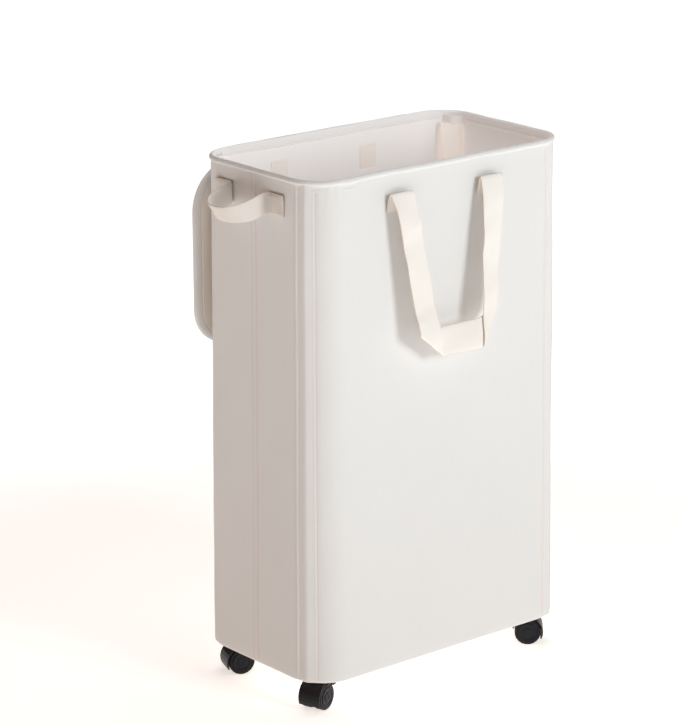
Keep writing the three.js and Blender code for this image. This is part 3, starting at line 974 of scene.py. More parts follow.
@dataclass
class Tub:
    """The sewn skin with its rod pockets, the inner lining, the rim hem and the two floors."""

    shop: Shop
    length: float = 0.0
    depth: float = 0.0
    rim: float = 0.0
    bottom: float = 0.0
    radius: float = 50.0
    flare_low: float = 2.5
    flare_high: float = -3.0
    cloth: float = 1.1
    section: Section = (
        (0.0, 0.0), (6.0, -0.4), (11.0, -1.0), (26.0, 1.1), (28.0, 1.1), (43.0, -0.9), (50.0, -0.6),
        (70.0, -0.1), (90.0, 0.0))
    pocket: Section = (
        (0.0, 0.0), (8.0, -0.4), (15.0, -3.0), (24.0, -8.2), (30.0, -9.4), (36.0, -8.2), (44.0, -3.0),
        (52.0, -0.5), (70.0, -0.1), (90.0, 0.0))
    fold_angle: float = 11.0
    groove_angle: float = 43.0
    tuck: float = 14.0
    hem_width: float = 14.0
    skin_top: float = 716.0
    lining_top: float = 714.0
    band: float = 668.0
    wire_radius: float = 1.5
    seat: float = 0.0
    skin_flat: tuple[float, float] = (0.0, 0.0)
    hem_line: tuple[Rows, ...] = ()

    def __post_init__(self) -> None:
        """Take the sizes from the frame."""
        low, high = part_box("left_panel")[0].x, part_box("right_panel")[1].x
        self.length = (high - low) / METRE
        self.depth = (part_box("back_panel")[1].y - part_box("front_panel")[0].y) / METRE
        self.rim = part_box("rim_hem")[1].z / METRE
        self.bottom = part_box("bottom_cover")[0].z / METRE
        self.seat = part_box("floor_lining")[1].z / METRE

    def flare(self, z: Rows) -> Rows:
        """How far the wall stands proud of the nominal outline at a height."""
        share = (z - self.bottom) / (self.rim - self.bottom)
        return self.flare_low + (self.flare_high - self.flare_low) * share

    def loop(self, section: Section, step: float, flat_step: float = 8.0) -> tuple[Rows, Rows, Rows, float]:
        """The tub's outline with a corner section.

        Args:
            section: The corners' angles and offsets.
            step: Distance between points in the corners.
            flat_step: Distance between points on the flat walls.

        Returns:
            The points, the outward normals, the distance round, and the whole length.
        """
        outline = Outline(self.length / 2.0, self.depth / 2.0, self.radius, flat_step, step, section)
        points, normals = outline.trace()
        points = soften(points, 3)
        run = run_of(points, closed=True)
        return points, normals, run[:-1], float(run[-1])

    def corner_mark(self, points: Rows, angle: float) -> Rows:
        """Distance of each point from a seam in the nearest corner, in mm along the wall.

        Args:
            points: The outline's points.
            angle: The seam's angle from the start of the bend.

        Returns:
            The signed distances, large away from the corners.
        """
        reach_x, reach_y = self.length / 2.0 - self.radius, self.depth / 2.0 - self.radius
        best = np.full(len(points), FAR)
        for side_x, side_y, start in TURNS:
            out_x, out_y = points[:, 0] - side_x * reach_x, points[:, 1] - side_y * reach_y
            turn = np.degrees(np.arctan2(out_y, out_x)) - start - angle
            turn = (turn + 180.0) % 360.0 - 180.0
            apart = np.radians(turn) * self.radius
            apart = np.where((out_x * side_x > -12.0) & (out_y * side_y > -12.0), apart, FAR)
            best = np.where(np.abs(apart) < np.abs(best), apart, best)
        return best

    def skin(self) -> bpy.types.Object:
        """Make the outer skin: a closed shell, turned under at its lower edge.

        Returns:
            The skin.
        """
        points, normals, run, whole = self.loop(self.section, 0.9, 1.0)
        fold = self.corner_mark(points, self.fold_angle)
        groove = self.corner_mark(points, self.groove_angle)
        side = np.abs(points[:, 0]) > self.length / 2.0 - 6.0
        felled = np.where(side, np.abs(points[:, 1]), FAR)
        relief = 1.2 * bell(fold, 1.7) - 0.5 * bell(fold - 3.4, 1.4) - 0.4 * bell(groove, 1.0) \
            + 0.2 * bell(groove + 2.2, 1.6)
        relief = relief + 0.6 * ease(-felled, -4.6, -3.6) - 0.4 * bell(felled - 4.4, 0.7)
        # Seam tint: partly the seam lines' own pinkish colour, partly painted shade beside the fold ridge and
        # in the groove and the felled seam's edges.
        seam_tint_and_shade = 0.55 * bell(fold + 2.4, 1.1) + 0.4 * bell(groove, 1.2) + 0.7 * bell(felled - 4.4, 1.2)
        keep = self.needed(points, np.minimum(np.abs(fold), np.minimum(np.abs(groove), felled)))
        points, normals, run, relief, seam_tint_and_shade = (row[keep] for row in (points, normals, run, relief, seam_tint_and_shade))
        heights = np.concatenate([np.linspace(self.bottom + 4.0, self.band, 66),
                                  np.linspace(self.band + 4.0, self.skin_top, 18)])
        rows, cloth = [], []
        turned = [(-self.tuck, 0.0), (-9.0, 0.0), (-4.0, 0.3), (-1.2, 1.2), (-0.2, 2.6)]
        flat_z = np.array([self.bottom + up for _, up in turned] + heights.tolist())
        inset = np.array([back for back, _ in turned] + [0.0] * len(heights))
        under = self.rim - self.hem_width
        for z, back in zip(flat_z, inset):
            low = ease(np.array(z), self.bottom, self.bottom + 30.0)
            high = ease(np.array(-z), -under, -under + 60.0)
            soft = waves(run, np.array(z), 0.7, 5) * float(low * high)
            gathers = np.sin(run * math.tau / 15.0 + 2.0 * np.sin(run / 37.0))
            pucker = 0.22 * bell(np.array(z - under), 16.0) * gathers
            shown = float(ease(np.array(z), 48.0, 56.0))
            out = self.flare(np.array(z)) + back + relief * shown + soft + pucker
            rows.append(ring(points, normals, out, z))
            cloth.append(cloth_row(run, z))
        outer = np.array(rows)
        shift = np.column_stack([normals, np.zeros(len(points))]) * self.cloth
        lift = np.zeros(len(flat_z))
        lift[:3] = self.cloth
        inner = outer - shift[None] * np.where(lift > 0.0, 0.0, 1.0)[:, None, None]
        inner[:, :, 2] += lift[:, None]
        rings = np.concatenate([outer, inner[::-1]])
        flat = np.concatenate([np.array(cloth), np.array(cloth)[::-1]])
        seam = np.tile(seam_tint_and_shade, (len(rings), 1))
        seam[:5] = seam[len(outer):] = 0.0
        piece = self.shop.tube("tub_skin", rings, Finish.CANVAS, flat, closed=True, seam=seam)
        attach(piece, "tub")
        corners = [f"corner_panel_{c}" for c in CORNERS]
        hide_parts("front_panel", "back_panel", "left_panel", "right_panel", *corners)
        self.skin_flat = (whole * METRE, (self.skin_top - self.bottom + self.tuck) * METRE)
        return piece

    def needed(self, points: Rows, seam: Rows) -> Rows:
        """Pick the points that the wall needs: all near a seam, every third in a corner, few on the flats.

        Args:
            points: The outline's points.
            seam: Distance of each from its nearest seam.

        Returns:
            The places of the points to keep.
        """
        bend = (np.abs(points[:, 0]) > self.length / 2.0 - self.radius) \
            & (np.abs(points[:, 1]) > self.depth / 2.0 - self.radius)
        place = np.arange(len(points))
        every = np.where(bend, 2, 9)
        return place[(seam < 4.5) | (felled_edge(seam)) | (place % every == 0)]

    def lining(self) -> bpy.types.Object:
        """Make the inner lining with a pocket round each rod.

        Returns:
            The lining.
        """
        points, normals, run, whole = self.loop(self.pocket, 2.2)
        heights = np.concatenate([np.linspace(self.seat - 1.0, self.band - 8.0, 60),
                                  np.linspace(self.band, self.lining_top, 12)])
        rows, cloth = [], []
        for z in heights:
            soft = waves(run, np.array(z), 0.8, 9) * float(ease(np.array(-z), -self.lining_top, -640.0))
            out = self.flare(np.array(z)) - self.cloth - 1.3 + np.minimum(soft, 0.4)
            rows.append(ring(points, normals, out, z))
            cloth.append(cloth_row(run, z))
        outer = np.array(rows)
        inner = outer - np.column_stack([normals, np.zeros(len(points))])[None] * 0.8
        piece = self.shop.tube("inner_lining", np.concatenate([outer, inner[::-1]]), Finish.LINING,
                               np.concatenate([np.array(cloth), np.array(cloth)[::-1]]), closed=True)
        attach(piece, "tub")
        return piece

    def hem(self) -> bpy.types.Object:
        """Make the hem that wraps the wire, with its overlapping join near the front left corner.

        Returns:
            The hem.
        """
        points, normals, run, _ = self.loop(((0.0, 0.0), (30.0, -0.1), (60.0, -0.1), (90.0, 0.0)), 2.0)
        profile = [(-3.9, -14.0), (-2.7, -14.3), (-2.1, -13.6), (-2.2, -12.4), (-2.7, -11.7), (-2.3, -11.0),
                   (-2.4, -8.8), (-1.9, -7.2), (-0.5, -5.6), (0.2, -3.9), (-0.2, -2.0), (-1.5, -0.5),
                   (-3.1, 0.2), (-4.7, 0.1), (-6.2, -1.4), (-6.9, -3.6), (-6.9, -6.2), (-6.6, -8.6),
                   (-6.7, -10.2), (-6.8, -11.6), (-5.6, -12.0)]
        rolled = np.array(profile)
        girth = run_of(rolled, closed=True)[:-1]
        join = run - self.join_place(points, run)
        rings, cloth = [], []
        for (out, up), round_ in zip(profile, girth):
            live = waves(run, np.array(round_ * 3.0), 0.35, 3)
            lap = bell(join, 14.0) * (1.2 if out > -4.0 and up < -5.0 else 0.15)
            drop = -1.6 * bell(join, 16.0) if up < -11.0 and out > -4.0 else 0.0
            crumple = 0.25 * bell(join - 22.0, 22.0) * np.sin(run * 1.1)
            reach = self.flare_high + 1.8 + out + live + lap + crumple
            height = self.rim + up - 0.4 + waves(run, np.array(0.0), 0.5, 12) + drop
            rings.append(ring(points, normals, reach, height))
            cloth.append(cloth_row(run, round_))
        piece = self.shop.tube("rim_hem_cloth", np.array(rings), Finish.BINDING, np.array(cloth),
                               closed=True, crease=64.0)
        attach(piece, "tub")
        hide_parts("rim_hem")
        # Painted light: the hem's inner band takes the lining finish so that its glow brightens it.
        piece.data.materials.append(Finish.LINING.material())
        inner = len(profile) - 9
        for face in piece.data.polygons:
            face.material_index = 1 if inner <= face.index // len(points) < len(profile) - 1 else 0
        self.hem_line = (points, normals, run)
        return piece

    def wire(self) -> None:
        """Run the steel wire inside the hem."""
        points, normals, run, _ = self.loop(((0.0, 0.0), (90.0, 0.0)), 3.0)
        rings, cloth = [], []
        for k in range(12):
            turn = math.tau * k / 12
            rings.append(ring(points, normals, self.flare_high - 1.7 + self.wire_radius * math.cos(turn),
                              self.rim - 4.2 + self.wire_radius * math.sin(turn)))
            cloth.append(cloth_row(run, float(k)))
        piece = self.shop.tube("rim_wire_run", np.array(rings), Finish.STEEL, np.array(cloth), closed=True)
        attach(piece, "tub")
        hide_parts("rim_wire")

    def join_place(self, points: Rows, run: Rows) -> float:
        """Where the hem's join lies, on the front just past the front left corner."""
        target = np.array([-self.length / 2.0 + self.radius + 12.0, -self.depth / 2.0])
        return float(run[int(np.argmin(np.linalg.norm(points - target, axis=1)))])

    def floor_sheet(self, name: str, z: float, inset: float, thick: float, finish: Finish, sag: float) -> bpy.types.Object:
        """Make a floor: rings that run in to the middle, on both faces.

        Args:
            name: The piece's name.
            z: The height of its lower face, in mm.
            inset: Distance in from the nominal outline.
            thick: Its thickness.
            finish: Its finish.
            sag: How deep its soft waves are.

        Returns:
            The piece.
        """
        rings, cloth = [], []
        steps = np.array([0.0, 0.6, 6.0, 18.0, 34.0, 52.0, 70.0, 88.0, 104.0])
        reach_x, reach_y = self.length / 2.0 - inset, self.depth / 2.0 - inset
        for lift, order in ((0.0, steps[::-1]), (thick, steps)):
            for step in order:
                radius = max(self.radius - inset - step, 3.0)
                bends = [(side_x * (reach_x - step - radius), side_y * (reach_y - step - radius), start, radius)
                         for side_x, side_y, start in TURNS]
                points = rounded(bends, 12, 12)
                soft = waves(points[:, 0], points[:, 1], sag, 21) * (0.0 if step < 1.0 else 1.0)
                edge = (thick / 2.0 - lift) * (0.7 if step == 0.0 else 0.0)
                rings.append(np.column_stack([points, z + lift + edge + soft]))
                cloth.append(points)
        piece = self.shop.tube(name, np.array(rings), finish, np.array(cloth), closed=False, caps=True)
        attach(piece, "tub")
        return piece

    def patches(self) -> None:
        """Sew the handle patches on the inside of the front and back walls."""
        for side, word in ((-1, "front"), (1, "back")):
            for spot in STRAP_SPOTS:
                across = np.linspace(-14.0, 14.0, 9)
                up = np.linspace(STRAP_TOP - 34.0, STRAP_TOP - 2.0, 9)
                grid = np.zeros((9, 9, 3))
                inner = self.depth / 2.0 - 7.6
                for i, z in enumerate(up):
                    for j, x in enumerate(across):
                        puff = 0.4 * math.cos(x / 9.2) * math.cos((z - STRAP_TOP + 18.0) / 10.6)
                        grid[i, j] = (spot + x, side * (inner - puff), z)
                flat = np.dstack(np.meshgrid(across, up))
                piece = self.shop.ribbon(f"inside_patch_{word}_{'left' if spot < 0 else 'right'}", grid, 1.0,
                                         Finish.PATCH, flat)
                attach(piece, "tub")

    def build(self) -> None:
        """Make every cloth piece of the tub."""
        skin = self.skin()
        self.lining()
        hem = self.hem()
        self.wire()
        cover = self.floor_sheet("bottom_cover_cloth", self.bottom, 2.0, 1.6, Finish.CANVAS, 0.25)
        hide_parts("bottom_cover")
        lining = self.floor_sheet("floor_lining_cloth", self.seat - 1.5, 8.0, 1.4, Finish.LINING, 0.5)
        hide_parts("floor_lining")
        self.patches()


# ------------------------------------------------------------------------------------- straps, loops


@dataclass
class Fold:
    """A diagonal fold of a flat strap about a line, with a small round bend."""

    centre: Rows
    direction: Rows
    radius: float = 1.7

    def mirror(self, vector: Rows) -> Rows:
        """Reflect a direction in the fold line."""
        return 2.0 * self.direction * float(vector @ self.direction) - vector

    def apply(self, flat: Rows, beyond: Rows) -> Rows:
        """Fold the points that lie beyond the line.

        Args:
            flat: Points with place in the plane and height out of it.
            beyond: The side that folds over, a unit vector across the line.

        Returns:
            The folded points.
        """
        across = beyond - self.direction * float(beyond @ self.direction)
        across /= np.linalg.norm(across)
        distance = (flat[..., :2] - self.centre) @ across + math.pi * self.radius / 2.0
        height = flat[..., 2]
        turn = np.clip(distance / self.radius, 0.0, math.pi)
        arm = self.radius - height
        over = np.maximum(distance - math.pi * self.radius, 0.0)
        new_distance = np.where(distance <= 0.0, distance, arm * np.sin(turn) - over)
        new_height = np.where(distance <= 0.0, height, self.radius - arm * np.cos(turn))
        moved = flat.copy()
        moved[..., :2] += (new_distance - distance)[..., None] * across
        moved[..., 2] = new_height
        return moved


@dataclass
class LongStrap:
    """The front carrying strap: sewn tabs, two hanging legs and a band between two diagonal folds."""

    shop: Shop
    width: float = 38.0
    thickness: float = 2.0
    tab: float = 19.0
    top: float = STRAP_TOP
    crown: float = 9.0
    first_top: tuple[float, float] = (STRAP_SPOTS[0], STRAP_TOP)
    first_fold: tuple[float, float] = (-53.8, 486.7)
    second_fold: tuple[float, float] = (46.0, 495.5)
    second_top: tuple[float, float] = (STRAP_SPOTS[1], STRAP_TOP)
    drape: Section = (
        (-124.5, 666.0), (-125.0, 672.0), (-127.2, 681.0), (-130.4, 689.4), (-133.6, 687.2), (-136.2, 679.0),
        (-139.6, 667.0), (-143.6, 645.0), (-146.0, 610.0), (-150.0, 570.0), (-155.0, 535.0), (-160.0, 500.0),
        (-163.0, 464.0))

    def rows(self, lengths: Sequence[float], slopes: Sequence[float]) -> list[tuple[float, float]]:
        """Rulings across the flat strap, which lean to match each fold.

        Args:
            lengths: Distance along the strap to each fold and to the end.
            slopes: Lean of the ruling at each fold.

        Returns:
            For each ruling, its place on the centre line and its lean.
        """
        first, second, end = lengths
        marks = [(-(self.tab + self.crown), 0.0), (first - 62.0, 0.0), (first, slopes[0]), (second, slopes[1]),
                 (second + 62.0, 0.0), (end + self.tab + self.crown, 0.0)]
        places = [mark[0] for mark in marks]
        leans = [mark[1] for mark in marks]
        spots: list[float] = []
        here = places[0]
        while here < places[-1]:
            spots.append(here)
            near = min(abs(here - first), abs(here - second), abs(here + self.crown / 2.0) * 1.2,
                       abs(here - end - self.crown / 2.0) * 1.2)
            here += 0.55 if near < 7.0 else 1.1 if near < 16.0 else 3.2
        spots.append(places[-1])
        return [(spot, float(np.interp(spot, places, leans))) for spot in spots]

    def hang(self, flat: Rows) -> Rows:
        """Hang the folded strap from its sewn ends.

        Args:
            flat: Points of the folded strap, in the plane and out of it.

        Returns:
            Points in space.
        """
        path = smooth_path(self.drape, 0.5)
        run = run_of(path)
        crown = run[int(np.argmax(path[:, 1]))]
        stretch = (run[-1] - crown) / (self.top - self.drape[-1][1])
        drop = self.top - flat[..., 1]
        place = crown + drop * np.where(drop > 0.0, stretch, 1.0)
        y = np.interp(place, run, path[:, 0])
        z = np.interp(place, run, path[:, 1])
        out_y = np.interp(place, run, np.gradient(path[:, 1], run))
        depth = flat[..., 2]
        sides = [np.interp(flat[..., 1], (fold[1], self.top), (fold[0], top[0]))
                 for fold, top in ((self.first_fold, self.first_top), (self.second_fold, self.second_top))]
        share = ease(flat[..., 0], -36.0, 28.0)
        twist_right = np.radians(np.interp(flat[..., 1], (495.0, 600.0, 684.0), (27.0, 15.0, 0.0)))
        twist_left = np.radians(np.interp(flat[..., 1], (480.0, 668.0, 686.0), (8.0, 8.0, 0.0)))
        away, away_right = (np.clip(flat[..., 0] - side, -26.0, 26.0) for side in sides)
        y = y + np.sin(twist_left) * away * (1.0 - share) + np.sin(twist_right) * away_right * share
        live = ease(-flat[..., 1], -676.0, -640.0)
        wave = 1.0 * np.sin(flat[..., 1] / 11.5 + flat[..., 0] / 31.0) * live
        wave = wave + 0.35 * np.sin(flat[..., 1] / 6.1 - flat[..., 0] / 15.0 + 1.3) * live
        crease = 1.8 * bell(flat[..., 1] - 535.0 - 0.25 * away, 9.0) * (1.0 - share)
        return np.stack([flat[..., 0], y - depth * out_y + wave + crease, z], axis=-1)

    def build(self) -> bpy.types.Object:
        """Fold the flat strap and hang it.

        Returns:
            The strap.
        """
        tops = [np.array(self.first_top), np.array(self.second_top)]
        turns = [np.array(self.first_fold), np.array(self.second_fold)]
        legs = [turns[0] - tops[0], turns[1] - turns[0], tops[1] - turns[1]]
        lengths = [float(np.linalg.norm(leg)) for leg in legs]
        ways = [leg / length for leg, length in zip(legs, lengths)]
        lines = [ways[0] + ways[1], ways[1] + ways[2]]
        lines = [line / np.linalg.norm(line) for line in lines]
        first = Fold(turns[0], lines[0])
        second = Fold(turns[0] + ways[0] * lengths[1], first.mirror(lines[1]))
        right = np.array([-ways[0][1], ways[0][0]])
        slopes = [float(line @ ways[0]) / float(line @ right) for line in (first.direction, second.direction)]
        reach = (lengths[0], lengths[0] + lengths[1], sum(lengths))
        rulings = self.rows(reach, slopes)
        across = np.linspace(-self.width / 2.0, self.width / 2.0, 15)
        flat = np.zeros((len(rulings), len(across), 3))
        uv = np.zeros((len(rulings), len(across), 2))
        for i, (spot, lean) in enumerate(rulings):
            along = spot + lean * across
            flat[i, :, :2] = tops[0] + along[:, None] * ways[0] + across[:, None] * right
            uv[i] = np.column_stack([along, across])
        folded = first.apply(second.apply(flat, ways[0]), ways[0])
        ends = self.straighten(folded, uv[..., 0], reach[2])
        piece = self.shop.ribbon("front_strap", self.hang(ends), self.thickness, Finish.WEBBING, uv)
        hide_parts("front_handle_loop", "front_handle_end_left", "front_handle_end_right")
        self.shop.place(0.0, -126.2, 690.0)
        self.shop.place(0.0, -133.5, 686.5)
        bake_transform(piece)
        return piece

    def straighten(self, folded: Rows, along: Rows, end: float) -> Rows:
        """Stand the sewn ends upright, above the slanting legs.

        Args:
            folded: The folded strap.
            along: Distance along the strap at each point.
            end: Distance along the strap to the second top.

        Returns:
            The strap with upright ends.
        """
        straight = folded.copy()
        for top, fold, extra in ((self.first_top, self.first_fold, -along),
                                 (self.second_top, self.second_fold, along - end)):
            past = np.clip(extra, 0.0, None)
            lean = np.interp(np.clip(extra, -60.0, 0.0), (-60.0, 0.0), (0.0, 1.0))
            is_here = extra > -60.0
            slant = (top[0] - fold[0]) / (self.top - fold[1])
            straight[..., 0] = np.where(is_here, straight[..., 0] - slant * past, straight[..., 0])
            straight[..., 1] = np.where(is_here & (lean >= 1.0), self.top + past, straight[..., 1])
        return straight


@dataclass
class BackStrap:
    """The back carrying strap, a plain U trapped behind the hanging lid."""

    shop: Shop
    width: float = 38.0
    thickness: float = 1.8

    def build(self) -> bpy.types.Object:
        """Loft the strap along its U.

        Returns:
            The strap.
        """
        low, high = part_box("back_handle")
        near = (low.y - self.shop.middle) / METRE
        far = (high.y - self.shop.middle) / METRE
        left, right = low.x / METRE, high.x / METRE
        top, bottom = high.z / METRE, low.z / METRE
        half = self.width / 2.0
        reach = (right - left) / 2.0 - half
        floor = bottom + half
        bends = [(-reach + 1.0, 640.0), (-reach + 5.0, 560.0), (-reach + 13.0, floor + 34.0),
                 (-reach + 34.0, floor + 4.0)]
        line = smooth_path([*bends, (0.0, floor), *[(-x, z) for x, z in bends[::-1]]], 3.0)
        line = smooth_path(np.vstack([[[-reach, top]], line[::10], [[reach, top]]]), 3.0)
        tangent = np.gradient(line, axis=0)
        tangent /= np.linalg.norm(tangent, axis=1, keepdims=True)
        side = np.column_stack([-tangent[:, 1], tangent[:, 0]])
        run = run_of(line)
        across = np.linspace(-half, half, 11)
        middle = (near + far) / 2.0
        grid = np.zeros((len(line), len(across), 3))
        for j, out in enumerate(across):
            grid[:, j, 0] = line[:, 0] + side[:, 0] * out
            grid[:, j, 2] = line[:, 1] + side[:, 1] * out
            grid[:, j, 1] = middle + 0.6 * np.sin(run / 19.0 + out / 14.0)
        uv = np.dstack(np.meshgrid(run, across, indexing="ij"))
        piece = self.shop.ribbon("back_strap", grid, self.thickness, Finish.WEBBING, uv)
        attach(piece, "tub")
        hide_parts("back_handle")
        return piece


@dataclass
class SideLoop:
    """A short side loop that bulges from the end wall and droops."""

    shop: Shop
    side: int
    name: str
    width: float = 28.0
    thickness: float = 2.0
    bulge: float = 50.0
    droop: float = 14.0
    back_shift: float = 5.0
    height: float = 681.0

    def build(self) -> bpy.types.Object:
        """Loft the loop with its sewn ends.

        Returns:
            The loop.
        """
        arm = [(54.0, 0.0), (40.0, 0.3), (35.0, 6.0), (36.5, 20.0), (31.0, 36.0), (17.0, self.bulge - 3.0)]
        mirrored = [(-along, out) for along, out in arm]
        plan = smooth_path([(-68.0, 0.0), *mirrored, (0.0, self.bulge), *arm[::-1], (71.0, 0.0)], 1.6)
        run = run_of(plan)
        across = np.linspace(-self.width / 2.0, self.width / 2.0, 11)
        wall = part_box("right_panel")[1].x / METRE - 2.0 + self.thickness / 2.0 + 0.3
        grid = np.zeros((len(plan), len(across), 3))
        share = np.maximum(plan[:, 1], 0.0) / self.bulge
        tilt = np.radians(38.0) * share
        curl = 2.2 * bell(np.abs(plan[:, 0]) - 71.0, 7.0)
        for j, up in enumerate(across):
            out = plan[:, 1] + np.sin(tilt) * up * 0.9 + 0.8 * np.sin(run / 17.0) * share
            out = out + curl * max(up, 0.0) / 14.0
            grid[:, j, 0] = self.side * (wall + out)
            grid[:, j, 1] = plan[:, 0] + self.back_shift
            grid[:, j, 2] = self.height - self.droop * share ** 1.2 + np.cos(tilt) * up
        uv = np.dstack(np.meshgrid(run, across, indexing="ij"))
        piece = self.shop.ribbon(f"{self.name}_loop", grid, self.thickness, Finish.NARROW_WEBBING, uv)
        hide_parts(f"{self.name}_handle_loop", f"{self.name}_handle_end_front",
                    f"{self.name}_handle_end_back")
        self.shop.place(self.side * (wall + 1.5), 0.0, 681.0)
        self.shop.place(self.side * (wall + 14.0), 0.0, 679.0)
        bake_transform(piece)
        return piece


# ------------------------------------------------------------------------------------ flaps and lid


@dataclass
class CornerFlap:
    """A flat flap that hangs over a rod's upper end, with a piped border."""

    shop: Shop
    corner: str
    reach: float = 37.6
    width: float = 32.0
    top: float = 703.0
    drop: float = 53.0
    lean: float = 30.0
    bend: tuple[float, float] = (170.0, 75.0)

    def build(self) -> None:
        """Make the flap and its piping."""
        side_x, side_y, start = BENDS[self.corner]
        turn = math.radians(start + self.lean)
        out = np.array([math.cos(turn), math.sin(turn)])
        along = np.array([-out[1], out[0]])
        centre = np.array([side_x * self.bend[0], side_y * self.bend[1]]) + out * self.reach
        across = np.concatenate([[-16.0, -15.4, -13.6, -12.9, -12.2], np.linspace(-10.0, 10.0, 9),
                                 [12.2, 12.9, 13.6, 15.4, 16.0]])
        up = np.concatenate([[0.0, 0.6, 2.4, 3.1, 3.8], np.linspace(6.5, self.drop, 18)])
        grid = np.zeros((len(up), len(across), 3))
        seam = np.zeros((len(up), len(across)))
        for i, rise in enumerate(up):
            for j, wide in enumerate(across):
                edge = min(self.width / 2.0 - abs(wide), rise)
                ridge = 0.7 * float(bell(edge - 1.6, 0.9)) - 0.35 * float(bell(edge - 3.1, 0.5))
                gather = 0.9 * math.sin(wide * 0.95) * math.exp(-(self.drop - rise) / 7.0)
                bow = 1.2 * math.sin(rise / self.drop * math.pi) * math.cos(wide / 16.0)
                proud = 4.6 * float(ease(np.array(wide), 0.0, 16.0)) * math.cos(rise / self.drop * 1.4)
                depth = ridge + gather + bow + proud + 1.8
                grid[i, j, :2] = centre + along * wide - out * depth
                grid[i, j, 2] = self.top - self.drop + rise
                # Painted shade: the seam values darken the flap's border groove and its outer edge.
                seam[i, j] = 0.9 * float(bell(edge - 3.1, 0.8)) + 0.9 * float(bell(edge, 0.7))
        uv = np.dstack(np.meshgrid(across, up))
        piece = self.shop.ribbon(f"corner_flap_cloth_{self.corner}", grid, 1.3, Finish.FLAP, uv, seam)
        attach(piece, f"corner_flap_{self.corner}")
        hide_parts(f"corner_flap_{self.corner}")


